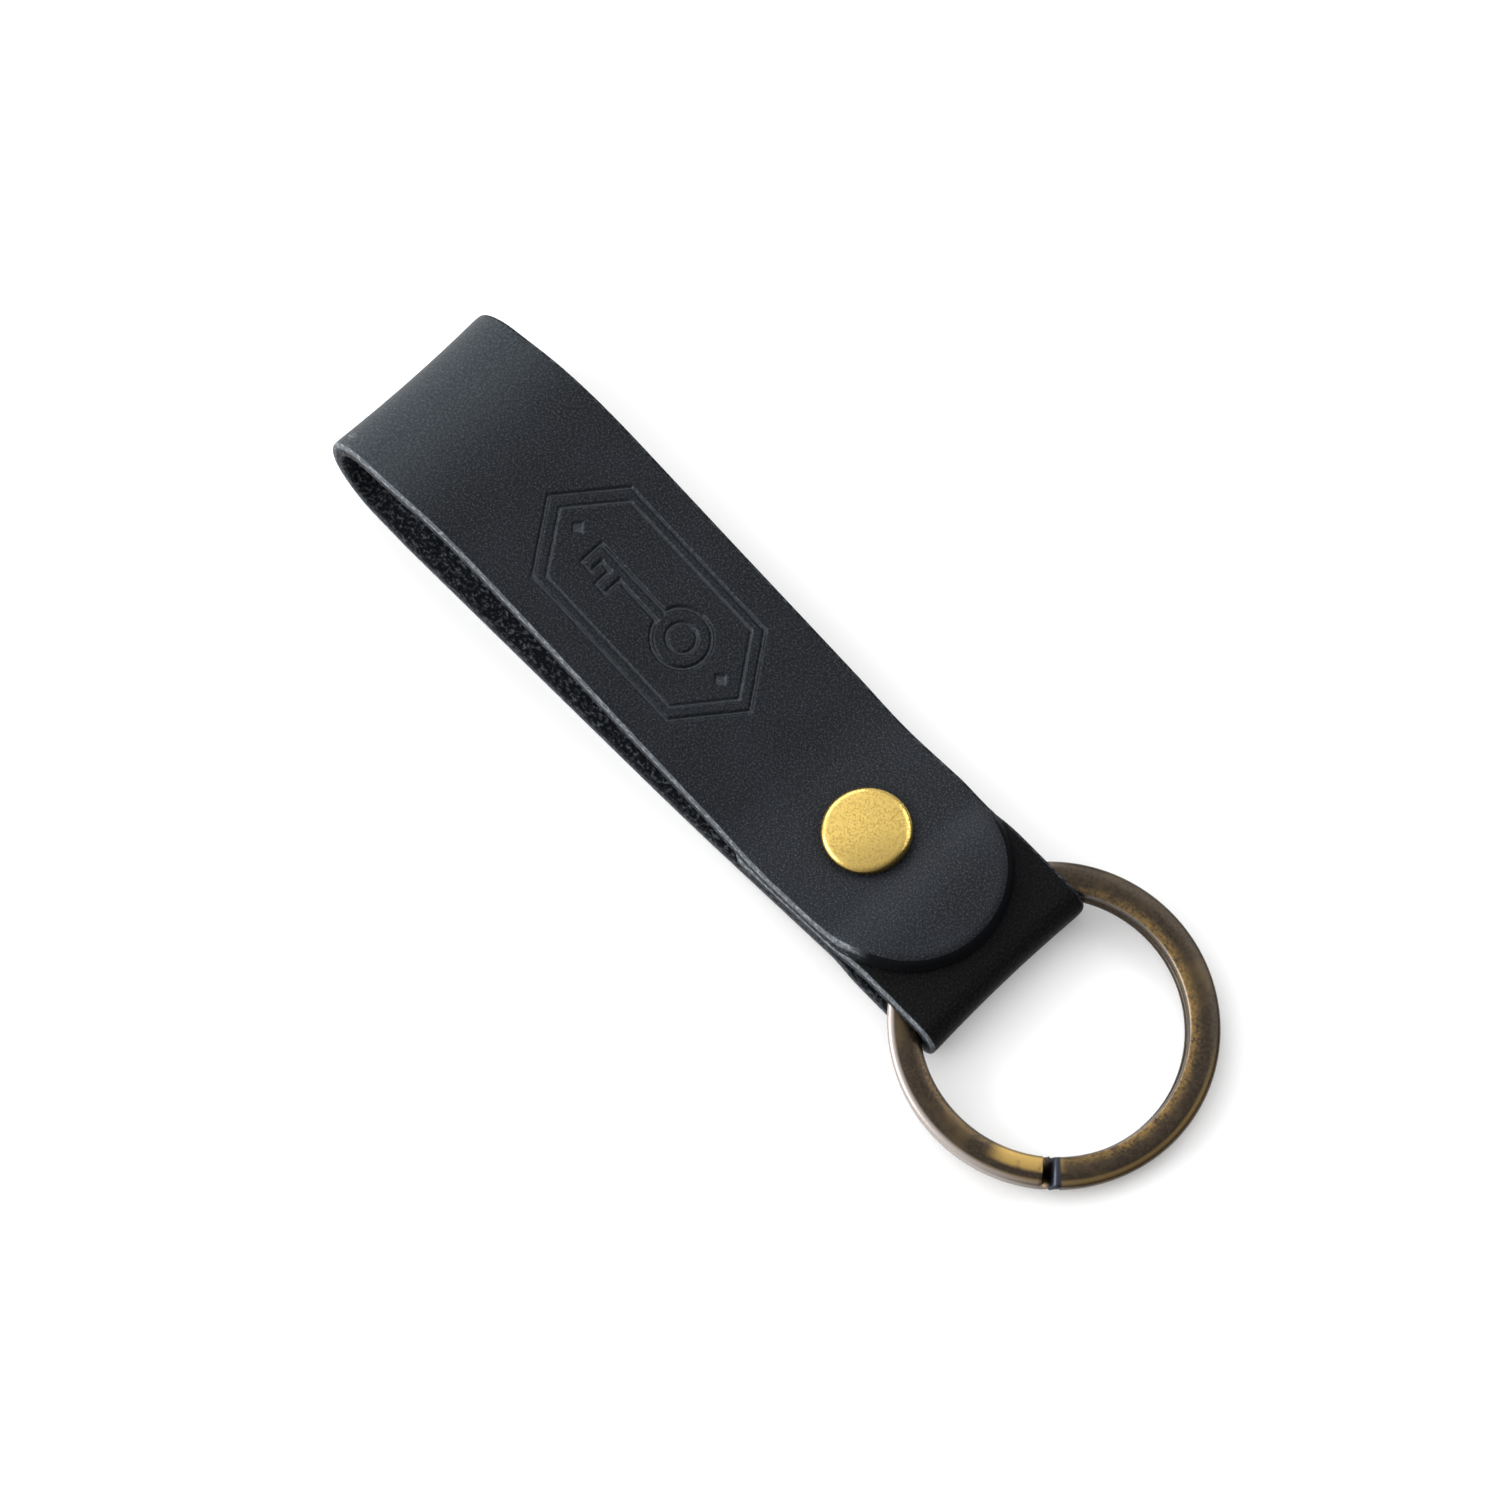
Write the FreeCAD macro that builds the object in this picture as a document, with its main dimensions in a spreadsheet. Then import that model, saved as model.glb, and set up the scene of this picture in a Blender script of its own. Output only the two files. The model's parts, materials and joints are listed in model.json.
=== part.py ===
"""Wristlet keychain: a folded leather strap, a double-cap rivet and a split ring.

One leather strip makes the whole strap. From the rounded tongue it runs over the
rivet, round the far fold, back along the surface it lies on, round the split ring
and under the tongue again as a tail, so that the rivet clamps three layers. Between
the rivet and the ring the leather flexes. Each side of that flex line is a rigid
sub-part of its own, with a narrow slot between the two.

Frame: origin at the middle of the bounding box's underside, +X along the strap
towards the ring, +Y across it, +Z up. All sizes are millimetres and degrees.
"""
import FreeCAD, Part
import os
import Sketcher

DIMENSIONS = {
    # whole object
    "overall_length": 106.45,
    # leather strip
    "leather_width": 20.6,
    "leather_thickness": 1.6,
    "layer_gap": 0.05,
    # wrist loop, from the far fold to the rivet
    "crest_inset": 12.2,
    "crest_height": 14.1,
    "crest_radius": 20.0,
    "shoulder_height": 11.2,
    "shoulder_radius": 6.3,
    "heel_radius": 5.2,
    "lift_radius": 150.0,
    "toe_inset": 8.0,
    "toe_radius": 18.0,
    # stack of three layers clamped by the rivet
    "rivet_to_ring": 24.9,
    "stack_tilt": 6.0,
    "stack_flat": 5.8,
    "tongue_flat": 5.5,
    "tail_inset": 8.9,
    "bend_radius": 4.5,
    # bight round the ring
    "ring_clearance": 0.1,
    "bight_reach": 16.6,
    "tongue_crest_reach": 17.05,
    "fold_reach": 6.8,
    "fold_radius": 1.6,
    "tongue_reach": 10.0,
    # flex line between the rivet and the ring
    "flex_offset": 6.4,
    "flex_slot": 1.8,
    # split ring
    "ring_radius": 16.0,
    "wire_width": 3.1,
    "wire_edge": 0.35,
    "coil_height": 1.3,
    "coil_gap": 0.06,
    "ring_tilt": 4.7,
    "split_angle": -44.0,
    "ramp_angle": 5.5,
    "end_gap_angle": 1.0,
    # rivet
    "cap_radius": 4.5,
    "cap_height": 1.15,
    "cap_edge": 0.62,
    "cap_lip_edge": 0.28,
    "cap_sheet": 0.3,
    "lip_radius": 3.4,
    "rivet_play": 0.05,
    "flange_radius": 4.1,
    "socket_radius": 2.0,
    "socket_length": 3.8,
    "post_radius": 1.6,
    "post_length": 4.5,
    "tube_wall": 0.35,
}

doc = FreeCAD.newDocument("wristlet_keychain")
sheet = doc.addObject("Spreadsheet::Sheet", "dims")
for row, (alias, number) in enumerate(DIMENSIONS.items(), start=1):
    sheet.set(f"A{row}", alias)
    sheet.set(f"B{row}", str(number))
    sheet.setAlias(f"B{row}", alias)
doc.recompute()


# ---- places that several sub-parts share, as expressions -------------------------------

HALF_WIDTH = "dims.leather_width / 2"
HALF_THICK = "dims.leather_thickness / 2"
RING_HEIGHT = "(2 * dims.coil_height + dims.coil_gap)"
RING_X = (f"(dims.overall_length / 2 - dims.ring_radius * cos(dims.ring_tilt)"
          f" - {RING_HEIGHT} / 2 * sin(dims.ring_tilt))")
RING_Z = (f"(dims.ring_radius * sin(dims.ring_tilt)"
          f" + {RING_HEIGHT} / 2 * cos(dims.ring_tilt))")
RIVET_X = f"({RING_X} - dims.rivet_to_ring)"
RIVET_Z = ("(dims.cap_height * cos(dims.stack_tilt)"
           " + dims.cap_radius * sin(dims.stack_tilt))")
LAYER_PITCH = "(dims.leather_thickness + dims.layer_gap)"
STACK_HEIGHT = "(3 * dims.leather_thickness + 2 * dims.layer_gap)"
FAR_X = f"({HALF_THICK} - dims.overall_length / 2)"
BIGHT_HALF = f"({RING_HEIGHT} / 2 + dims.ring_clearance + {HALF_THICK})"
FOLD_SPLIT_Z = f"({HALF_THICK} + dims.heel_radius + dims.layer_gap)"


def ring_point(along, up):
    """X and Z of a point given from the ring's centre, in the ring's tilted plane."""
    x = f"{RING_X} + ({along}) * cos(dims.ring_tilt) + ({up}) * sin(dims.ring_tilt)"
    z = f"{RING_Z} - ({along}) * sin(dims.ring_tilt) + ({up}) * cos(dims.ring_tilt)"
    return x, z


def stack_point(along, up):
    """X and Z of a point given from the rivet's foot, in the tilted stack of layers."""
    x = f"{RIVET_X} + ({along}) * cos(dims.stack_tilt) - ({up}) * sin(dims.stack_tilt)"
    z = f"{RIVET_Z} + ({along}) * sin(dims.stack_tilt) + ({up}) * cos(dims.stack_tilt)"
    return x, z


def layer_middle(layer):
    """Height of a layer's middle in the stack: 0 is the bottom, 1 the tail, 2 the tongue."""
    return f"({HALF_THICK} + {layer} * {LAYER_PITCH})"


# ---- helpers for bodies and sketches ---------------------------------------------------

def new_body(label):
    body = doc.addObject("PartDesign::Body", label)
    body.Label = label
    return body


def place(target, prefix, x, z, axis_angle=None):
    """Bind a placement's base in X and Z, and its turn about the placement's axis."""
    target.setExpression(f"{prefix}.Base.x", x)
    target.setExpression(f"{prefix}.Base.z", z)
    if axis_angle:
        target.setExpression(f"{prefix}.Rotation.Angle", axis_angle)


def new_sketch(body, name, role, turn_axis=None):
    """A sketch flat on one of the body's own origin planes, ready to turn about an axis."""
    plane = next(o for o in body.Origin.OriginFeatures if o.Role == role)
    sketch = body.newObject("Sketcher::SketchObject", name)
    sketch.AttachmentSupport = [(plane, "")]
    sketch.MapMode = "FlatFace"
    if turn_axis:
        rotation = FreeCAD.Rotation(FreeCAD.Vector(*turn_axis), 1)
        sketch.AttachmentOffset = FreeCAD.Placement(FreeCAD.Vector(0, 0, 0), rotation)
    return sketch


def bind(sketch, constraint, expression):
    """Add a constraint to the sketch and drive its value by an expression."""
    index = sketch.addConstraint(constraint)
    sketch.setExpression(f"Constraints[{index}]", expression)


def pin_point(sketch, geometry, end, x, y):
    """Hold one point of the sketch at X and Y expressions from the sketch's origin."""
    bind(sketch, Sketcher.Constraint("DistanceX", -1, 1, geometry, end, 1.0), x)
    bind(sketch, Sketcher.Constraint("DistanceY", -1, 1, geometry, end, 1.0), y)


def draw_path(sketch, corners, closed=False):
    """Straight runs through corners (x, y, radius alias), rounded by tangent arcs.

    The runs start as a rough zigzag. The bound corners then pull them into place,
    and each corner with a radius gets an arc of it.
    """
    count = len(corners)
    runs = count if closed else count - 1
    zigzag = [FreeCAD.Vector(i, 2 * (i % 2) + 0.1 * i * i, 0) for i in range(count)]
    for i in range(runs):
        sketch.addGeometry(Part.LineSegment(zigzag[i], zigzag[(i + 1) % count]))
    for i in range(0 if closed else 1, runs):
        sketch.addConstraint(Sketcher.Constraint("Coincident", (i - 1) % runs, 2, i, 1))
    for i, (x, y, radius) in enumerate(corners):
        if i < runs:
            pin_point(sketch, i, 1, x, y)
        else:
            pin_point(sketch, runs - 1, 2, x, y)
    doc.recompute()
    middles = [(line.StartPoint + line.EndPoint) / 2 for line in sketch.Geometry]
    for i, (x, y, radius) in enumerate(corners):
        if radius:
            before = (i - 1) % runs
            sketch.fillet(before, i, middles[before], middles[i], getattr(sheet, radius), 1, True)
            arc = sketch.GeometryCount - 2
            bind(sketch, Sketcher.Constraint("Radius", arc, getattr(sheet, radius)), f"dims.{radius}")
    doc.recompute()


def draw_rectangle(sketch, x_low, x_high, y_low, y_high, edge=None):
    """A rectangle between X and Y expressions, with its corners rounded by an alias."""
    corners = [(x_low, y_low), (x_high, y_low), (x_high, y_high), (x_low, y_high)]
    draw_path(sketch, [(x, y, edge) for x, y in corners], closed=True)


def revolve(body, name, sketch, angle, reverse=False):
    """Turn a sketch about the body's Z axis."""
    axis = next(o for o in body.Origin.OriginFeatures if o.Role == "Z_Axis")
    turn = body.newObject("PartDesign::Revolution", name)
    turn.Profile = sketch
    turn.ReferenceAxis = (axis, [""])
    turn.setExpression("Angle", angle)
    turn.Reversed = reverse
    return turn


# ---- leather ---------------------------------------------------------------------------

def sweep_strip(body, name, spine, profile):
    """Sweep the strip's rectangle along a spine sketch."""
    pipe = body.newObject("PartDesign::AdditivePipe", name)
    pipe.Profile = profile
    pipe.Spine = (spine, [])
    return pipe


def add_upper_run(body):
    """The strip from the tongue's tip over the rivet and the crest to the far fold."""
    tip = ring_point("-dims.tongue_reach", f"{BIGHT_HALF} + {LAYER_PITCH}")
    spine = new_sketch(body, "upper_spine", "XZ_Plane")
    draw_path(spine, [
        (*tip, None),
        (*ring_point("-dims.tongue_crest_reach", f"{BIGHT_HALF} + {LAYER_PITCH}"), "bend_radius"),
        (*stack_point("dims.tongue_flat", layer_middle(2)), "bend_radius"),
        (*stack_point("-dims.toe_inset", layer_middle(2)), "toe_radius"),
        (f"{FAR_X} + dims.crest_inset", "dims.crest_height", "crest_radius"),
        (FAR_X, "dims.shoulder_height", "shoulder_radius"),
        (FAR_X, FOLD_SPLIT_Z, None),
    ])
    profile = new_sketch(body, "tongue_section", "YZ_Plane", turn_axis=(1, 0, 0))
    profile.setExpression("AttachmentOffset.Base.y", tip[1])
    profile.setExpression("AttachmentOffset.Base.z", tip[0])
    profile.setExpression("AttachmentOffset.Rotation.Angle", "dims.ring_tilt")
    draw_rectangle(profile, f"-{HALF_WIDTH}", HALF_WIDTH, f"-{HALF_THICK}", HALF_THICK)
    return sweep_strip(body, "upper_run", spine, profile)


def add_lower_run(body):
    """The strip from the far fold along the floor, round the ring and back as the tail."""
    spine = new_sketch(body, "lower_spine", "XZ_Plane")
    lift_along = (f"({HALF_THICK} * (1 - cos(dims.stack_tilt)) - {RIVET_Z})"
                  " / sin(dims.stack_tilt)")
    draw_path(spine, [
        (FAR_X, FOLD_SPLIT_Z, None),
        (FAR_X, HALF_THICK, "heel_radius"),
        (*stack_point(lift_along, HALF_THICK), "lift_radius"),
        (*stack_point("dims.stack_flat", layer_middle(0)), "bend_radius"),
        (*ring_point("-dims.bight_reach", f"-{BIGHT_HALF}"), "bend_radius"),
        (*ring_point("-dims.fold_reach", f"-{BIGHT_HALF}"), "fold_radius"),
        (*ring_point("-dims.fold_reach", BIGHT_HALF), "fold_radius"),
        (*ring_point("-dims.bight_reach", BIGHT_HALF), "bend_radius"),
        (*stack_point("dims.stack_flat", layer_middle(1)), "bend_radius"),
        (*stack_point("-dims.tail_inset", layer_middle(1)), None),
    ])
    profile = new_sketch(body, "fold_section", "XY_Plane")
    profile.setExpression("AttachmentOffset.Base.x", FAR_X)
    profile.setExpression("AttachmentOffset.Base.z", FOLD_SPLIT_Z)
    draw_rectangle(profile, f"-{HALF_THICK}", HALF_THICK, f"-{HALF_WIDTH}", HALF_WIDTH)
    return sweep_strip(body, "lower_run", spine, profile)


def round_tongue(body):
    """Cut the tongue's end to a half circle, before there is any leather under it."""
    tip_x = ring_point("-dims.tongue_reach", f"{BIGHT_HALF} + {LAYER_PITCH}")[0]
    side = f"({HALF_WIDTH} + 1)"
    sketch = new_sketch(body, "tongue_outline", "XY_Plane")
    sketch.setExpression("AttachmentOffset.Base.x", f"{tip_x} - {HALF_WIDTH}")
    corners = [("0", HALF_WIDTH), ("0", side), (side, side),
               (side, f"-{side}"), ("0", f"-{side}"), ("0", f"-{HALF_WIDTH}")]
    draw_path(sketch, [(x, y, None) for x, y in corners])
    radius = sheet.leather_width / 2
    arc = sketch.addGeometry(Part.Arc(FreeCAD.Vector(0, -radius, 0), FreeCAD.Vector(radius, 0, 0),
                                      FreeCAD.Vector(0, radius, 0)))
    sketch.addConstraint(Sketcher.Constraint("Coincident", arc, 1, 4, 2))
    sketch.addConstraint(Sketcher.Constraint("Coincident", arc, 2, 0, 1))
    sketch.addConstraint(Sketcher.Constraint("PointOnObject", arc, 3, -2))
    pocket = body.newObject("PartDesign::Pocket", "tongue_rounding")
    pocket.Profile = sketch
    pocket.Type = "ThroughAll"
    pocket.Midplane = True
    return pocket


def punch_rivet_hole(body):
    """The hole through all three layers, square to the tilted stack."""
    sketch = new_sketch(body, "rivet_hole_outline", "XY_Plane", turn_axis=(0, -1, 0))
    place(sketch, "AttachmentOffset", RIVET_X, RIVET_Z, "dims.stack_tilt")
    circle = sketch.addGeometry(Part.Circle(FreeCAD.Vector(0, 0, 0), FreeCAD.Vector(0, 0, 1), 2))
    sketch.addConstraint(Sketcher.Constraint("Coincident", circle, 3, -1, 1))
    bind(sketch, Sketcher.Constraint("Radius", circle, 2.0), "dims.socket_radius + dims.rivet_play")
    pocket = body.newObject("PartDesign::Pocket", "rivet_hole")
    pocket.Profile = sketch
    pocket.Type = "Length"
    pocket.Midplane = True
    pocket.setExpression("Length", f"4 * {STACK_HEIGHT}")
    return pocket


def make_strip():
    """The whole leather strip as it is folded, one solid."""
    body = new_body("leather_strip")
    features = [add_upper_run, round_tongue, add_lower_run, punch_rivet_hole]
    volumes = []
    for add_feature in features:
        add_feature(body)
        doc.recompute()
        volumes.append(body.Shape.Volume)
    upper, rounded, joined, punched = volumes
    if not (rounded < upper < joined and punched < joined):
        raise RuntimeError(f"a leather feature changed nothing: {volumes}")
    return body


def split_strip(strip):
    """Share the strip between the two sides of the flex line."""
    flex_x = f"({RIVET_X} + dims.flex_offset)"
    sides = {
        "strap_loop": ("-dims.overall_length / 2 - 1",
                       f"{flex_x} - dims.flex_slot / 2 + dims.overall_length / 2 + 1"),
        "strap_bight": (f"{flex_x} + dims.flex_slot / 2", "dims.overall_length / 2"),
    }
    nodes = []
    for label, (start, length) in sides.items():
        side = doc.addObject("Part::Box", f"{label}_side")
        side.setExpression("Length", length)
        side.setExpression("Width", "2 * dims.leather_width")
        side.setExpression("Height", "dims.leather_width * 2")
        side.setExpression("Placement.Base.x", start)
        side.setExpression("Placement.Base.y", "-dims.leather_width")
        side.setExpression("Placement.Base.z", "-dims.leather_width / 2")
        common = doc.addObject("Part::Common", label)
        common.Label = label
        common.Base = strip
        common.Tool = side
        nodes.append(common)
    return nodes


# ---- rivet -----------------------------------------------------------------------------

SHELL_TOP = "dims.cap_height"
SHELL_INSIDE = "(dims.cap_height - dims.cap_sheet)"
FLANGE_FOOT = "(dims.cap_sheet + dims.rivet_play)"
FLANGE_TOP = "(2 * dims.cap_sheet + dims.rivet_play)"


def stand_on_stack(body, top):
    """Place a rivet piece on the stack's upper face, or head down under its lower face."""
    up = STACK_HEIGHT if top else "0"
    x, z = stack_point("0", up)
    turn = FreeCAD.Rotation(FreeCAD.Vector(0, -1, 0), 1)
    body.Placement = FreeCAD.Placement(FreeCAD.Vector(0, 0, 0), turn)
    place(body, "Placement", x, z, "dims.stack_tilt" if top else "dims.stack_tilt + 180")


def turned_piece(label, corners, top):
    """A rivet piece turned from its half section, stood on one face of the stack."""
    body = new_body(label)
    section = new_sketch(body, f"{label}_section", "XZ_Plane")
    draw_path(section, corners, closed=True)
    revolve(body, f"{label}_turning", section, "360")
    stand_on_stack(body, top)
    return body


def make_cap(label, top):
    """A pressed cap: a flat top, a rounded rim and a lip curled under the flange."""
    inside_radius = "dims.cap_radius - dims.cap_sheet"
    corners = [
        ("dims.lip_radius", "0", None),
        ("dims.cap_radius", "0", "cap_lip_edge"),
        ("dims.cap_radius", SHELL_TOP, "cap_edge"),
        ("0", SHELL_TOP, None),
        ("0", SHELL_INSIDE, None),
        (inside_radius, SHELL_INSIDE, None),
        (inside_radius, "dims.cap_sheet", None),
        ("dims.lip_radius", "dims.cap_sheet", None),
    ]
    return turned_piece(label, corners, top)


def make_stem(label, radius, length, top):
    """A tubular stem that hangs from its flange through the layers."""
    bore = f"({radius} - dims.tube_wall)"
    corners = [
        (bore, f"-{length}", None),
        (radius, f"-{length}", None),
        (radius, FLANGE_FOOT, None),
        ("dims.flange_radius", FLANGE_FOOT, None),
        ("dims.flange_radius", FLANGE_TOP, None),
        (bore, FLANGE_TOP, None),
    ]
    return turned_piece(label, corners, top)


# ---- split ring ------------------------------------------------------------------------

TOP_COIL = "(dims.coil_gap / 2)"
LOW_COIL = "(-dims.coil_gap / 2 - dims.coil_height)"


def wire_section(body, name, angle, foot):
    """The wire's rounded section at an angle round the ring, standing on a height."""
    sketch = new_sketch(body, name, "XZ_Plane", turn_axis=(0, 1, 0))
    sketch.setExpression("AttachmentOffset.Rotation.Angle", angle)
    inner = "dims.ring_radius - dims.wire_width"
    draw_rectangle(sketch, inner, "dims.ring_radius", foot, f"{foot} + dims.coil_height", "wire_edge")
    return sketch


def make_split_ring():
    """One flat wire: a coil on top, a short ramp down through the split, a coil below."""
    body = new_body("split_ring")
    ramp_foot = "dims.split_angle - dims.ramp_angle"
    top = wire_section(body, "top_coil_section", "dims.split_angle", TOP_COIL)
    revolve(body, "top_coil", top, "360 - dims.ramp_angle")
    doc.recompute()
    ramp = body.newObject("PartDesign::AdditiveLoft", "ramp")
    ramp.Profile = wire_section(body, "ramp_top_section", "dims.split_angle", TOP_COIL)
    ramp.Sections = [(wire_section(body, "ramp_foot_section", ramp_foot, LOW_COIL), [""])]
    ramp.Ruled = True
    doc.recompute()
    low = wire_section(body, "low_coil_section", ramp_foot, LOW_COIL)
    revolve(body, "low_coil", low, "360 - dims.ramp_angle - dims.end_gap_angle", reverse=True)
    body.Placement = FreeCAD.Placement(FreeCAD.Vector(0, 0, 0),
                                       FreeCAD.Rotation(FreeCAD.Vector(0, 1, 0), 1))
    place(body, "Placement", RING_X, RING_Z, "dims.ring_tilt")
    return body


# ---- build, check, write ---------------------------------------------------------------

def check_document():
    """Stop when any object of the document failed to compute."""
    for item in doc.Objects:
        if "Invalid" in item.State or "Error" in item.State:
            raise RuntimeError(f"{item.Label} failed: {item.State}")


def write_nodes(nodes):
    """Check each sub-part's shape, then write it as a STEP file named by its label."""
    for node in nodes:
        if node.Shape.isNull() or not node.Shape.isValid():
            raise RuntimeError(f"{node.Label} has no valid shape")
    os.makedirs("parts", exist_ok=True)
    for node in nodes:
        box = node.Shape.optimalBoundingBox(False)
        print(f"{node.Label:18s} {len(node.Shape.Solids)} solids {node.Shape.Volume:9.2f} mm3"
              f"  x {box.XMin:7.2f} {box.XMax:7.2f}  y {box.YMin:7.2f} {box.YMax:7.2f}"
              f"  z {box.ZMin:6.2f} {box.ZMax:6.2f}")
        node.Shape.exportStep(f"parts/{node.Label}.step")


strip = make_strip()
nodes = split_strip(strip)
nodes.append(make_cap("rivet_front_cap", top=True))
nodes.append(make_cap("rivet_back_cap", top=False))
nodes.append(make_stem("rivet_socket", "dims.socket_radius", "dims.socket_length", top=True))
nodes.append(make_stem("rivet_post", "dims.post_radius", "dims.post_length", top=False))
nodes.append(make_split_ring())
doc.recompute()
check_document()
write_nodes(nodes)
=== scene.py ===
"""Wristlet keychain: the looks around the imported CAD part.

The strap is one leather strip, swept along the folded route that the CAD strap takes.
The split ring and the rivet's caps are rebuilt with rounder sections on the CAD's axes.
The rivet's stem pieces keep their CAD meshes and get a brass material.

Sizes are millimetres and degrees. Meshes are turned into metres when they are made.
"Flat" coordinates are places on the strip before it was folded: the distance along it
from the tongue's tip, the distance across it, and the height towards the grain side.
"""
import json
import math

import bmesh
import bpy
import numpy as np
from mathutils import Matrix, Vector


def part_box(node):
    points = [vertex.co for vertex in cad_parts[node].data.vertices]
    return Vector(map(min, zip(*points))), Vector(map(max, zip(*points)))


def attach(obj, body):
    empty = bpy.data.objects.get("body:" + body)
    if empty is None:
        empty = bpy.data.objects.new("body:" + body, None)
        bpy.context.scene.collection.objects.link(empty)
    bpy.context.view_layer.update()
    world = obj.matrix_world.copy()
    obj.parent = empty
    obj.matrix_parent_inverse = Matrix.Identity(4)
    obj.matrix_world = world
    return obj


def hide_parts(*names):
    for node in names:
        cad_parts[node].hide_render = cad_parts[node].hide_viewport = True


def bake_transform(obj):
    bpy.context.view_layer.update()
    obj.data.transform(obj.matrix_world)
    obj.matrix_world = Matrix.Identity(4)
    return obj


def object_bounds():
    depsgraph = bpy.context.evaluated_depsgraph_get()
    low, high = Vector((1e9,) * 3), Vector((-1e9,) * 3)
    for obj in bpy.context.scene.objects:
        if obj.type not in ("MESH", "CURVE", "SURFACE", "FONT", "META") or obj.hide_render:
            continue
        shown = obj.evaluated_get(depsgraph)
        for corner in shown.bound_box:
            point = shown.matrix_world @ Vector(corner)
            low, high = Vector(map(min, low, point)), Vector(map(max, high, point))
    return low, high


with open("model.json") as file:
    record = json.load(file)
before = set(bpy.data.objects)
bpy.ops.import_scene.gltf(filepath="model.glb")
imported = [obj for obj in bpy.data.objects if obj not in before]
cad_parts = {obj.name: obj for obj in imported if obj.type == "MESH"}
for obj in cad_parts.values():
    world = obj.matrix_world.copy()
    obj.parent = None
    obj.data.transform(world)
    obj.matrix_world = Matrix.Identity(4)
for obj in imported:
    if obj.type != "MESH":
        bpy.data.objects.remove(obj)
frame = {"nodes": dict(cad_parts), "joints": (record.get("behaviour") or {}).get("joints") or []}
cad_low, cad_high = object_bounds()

MM = 0.001

# ---- the frame's own places ----

JOINTS = {joint["name"]: joint for joint in frame["joints"]}
RING_X, _, RING_Z = (value / MM for value in JOINTS["ring_spin"]["pos_m"])
RING_TILT = math.atan2(JOINTS["ring_spin"]["axis"][0], JOINTS["ring_spin"]["axis"][2])
RING_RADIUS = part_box("split_ring")[1].y / MM
HALF_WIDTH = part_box("strap_loop")[1].y / MM
CAP_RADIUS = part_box("rivet_front_cap")[1].y / MM
FAR_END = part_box("strap_loop")[0].x / MM

# ---- driving sizes ----

# the leather, and the three layers that the rivet clamps
THICKNESS = 1.6
LAYER_GAP = 0.05
STACK_TILT = math.radians(6.0)
STACK_END = 5.8
RIVET_TO_RING = 24.9
HOLE_RADIUS = 2.05
TAIL_REACH = 8.9
TIP_LIFT = 0.4

# the split ring, and the leather's distances from its centre
WIRE_WIDTH = 3.1
COIL_HEIGHT = 1.3
COIL_GAP = 0.06
RING_CLEARANCE = 0.1
SPLIT_ANGLE = -44.0
RAMP_ANGLE = 5.5
END_GAP_ANGLE = 1.0
FREE_END_ANGLE = SPLIT_ANGLE - RAMP_ANGLE
FOLD_REACH = 6.8
TONGUE_REACH = 10.0
NECK_REACH = 16.6

# the rivet's caps
CAP_HEIGHT = 1.15
CAP_SHEET = 0.3
CAP_LIP = 3.4

HALF_THICK = THICKNESS / 2
LAYER_PITCH = THICKNESS + LAYER_GAP
STACK_HEIGHT = 3 * THICKNESS + 2 * LAYER_GAP
BIGHT_HALF = COIL_HEIGHT + COIL_GAP / 2 + RING_CLEARANCE + HALF_THICK
RIVET_X = RING_X - RIVET_TO_RING
RIVET_Z = CAP_HEIGHT * math.cos(STACK_TILT) + CAP_RADIUS * math.sin(STACK_TILT)


def ring_point(along, up):
    """X and Z of a point given from the ring's centre, in the ring's tilted plane."""
    x = RING_X + along * math.cos(RING_TILT) + up * math.sin(RING_TILT)
    z = RING_Z - along * math.sin(RING_TILT) + up * math.cos(RING_TILT)
    return x, z


def stack_point(along, up):
    """X and Z of a point given from the rivet's foot, in the tilted stack of layers."""
    x = RIVET_X + along * math.cos(STACK_TILT) - up * math.sin(STACK_TILT)
    z = RIVET_Z + along * math.sin(STACK_TILT) + up * math.cos(STACK_TILT)
    return x, z


def layer_middle(layer):
    """Height of a layer's middle in the stack: 0 is the bottom, 1 the tail, 2 the tongue."""
    return HALF_THICK + layer * LAYER_PITCH


# ---- the strip's route ----

FAR_X = FAR_END + HALF_THICK
LIFT_ALONG = (HALF_THICK * (1 - math.cos(STACK_TILT)) - RIVET_Z) / math.sin(STACK_TILT)

# Corners of the strip's middle line, each with the radius that rounds it.
ROUTE_CORNERS = [
    # the tongue: its lifted tip over the bight, then down and up onto the stack
    (ring_point(-TONGUE_REACH, BIGHT_HALF + LAYER_PITCH + TIP_LIFT), 0),
    (ring_point(-17.05, BIGHT_HALF + LAYER_PITCH), 9.0),
    (stack_point(5.5, layer_middle(2)), 7.0),
    # the upper run, over the crest
    (stack_point(-8.0, layer_middle(2)), 18.0),
    ((FAR_X + 12.2, 14.1), 20.0),
    # the far fold, down to the floor
    ((FAR_X, 11.2), 6.3),
    ((FAR_X, HALF_THICK), 5.2),
    # the lower run, which leaves the floor under the rivet
    (stack_point(LIFT_ALONG, HALF_THICK), 150.0),
    (stack_point(STACK_END, layer_middle(0)), 4.5),
    # the bight, under the ring's wire and back over it
    (ring_point(-NECK_REACH, -BIGHT_HALF), 4.5),
    (ring_point(-FOLD_REACH, -BIGHT_HALF), 1.6),
    (ring_point(-FOLD_REACH, BIGHT_HALF), 1.6),
    (ring_point(-NECK_REACH, BIGHT_HALF), 7.0),
    # the tail, between the other two layers
    (stack_point(STACK_END, layer_middle(1)), 7.0),
    (stack_point(-TAIL_REACH, layer_middle(1)), 0),
]


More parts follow.
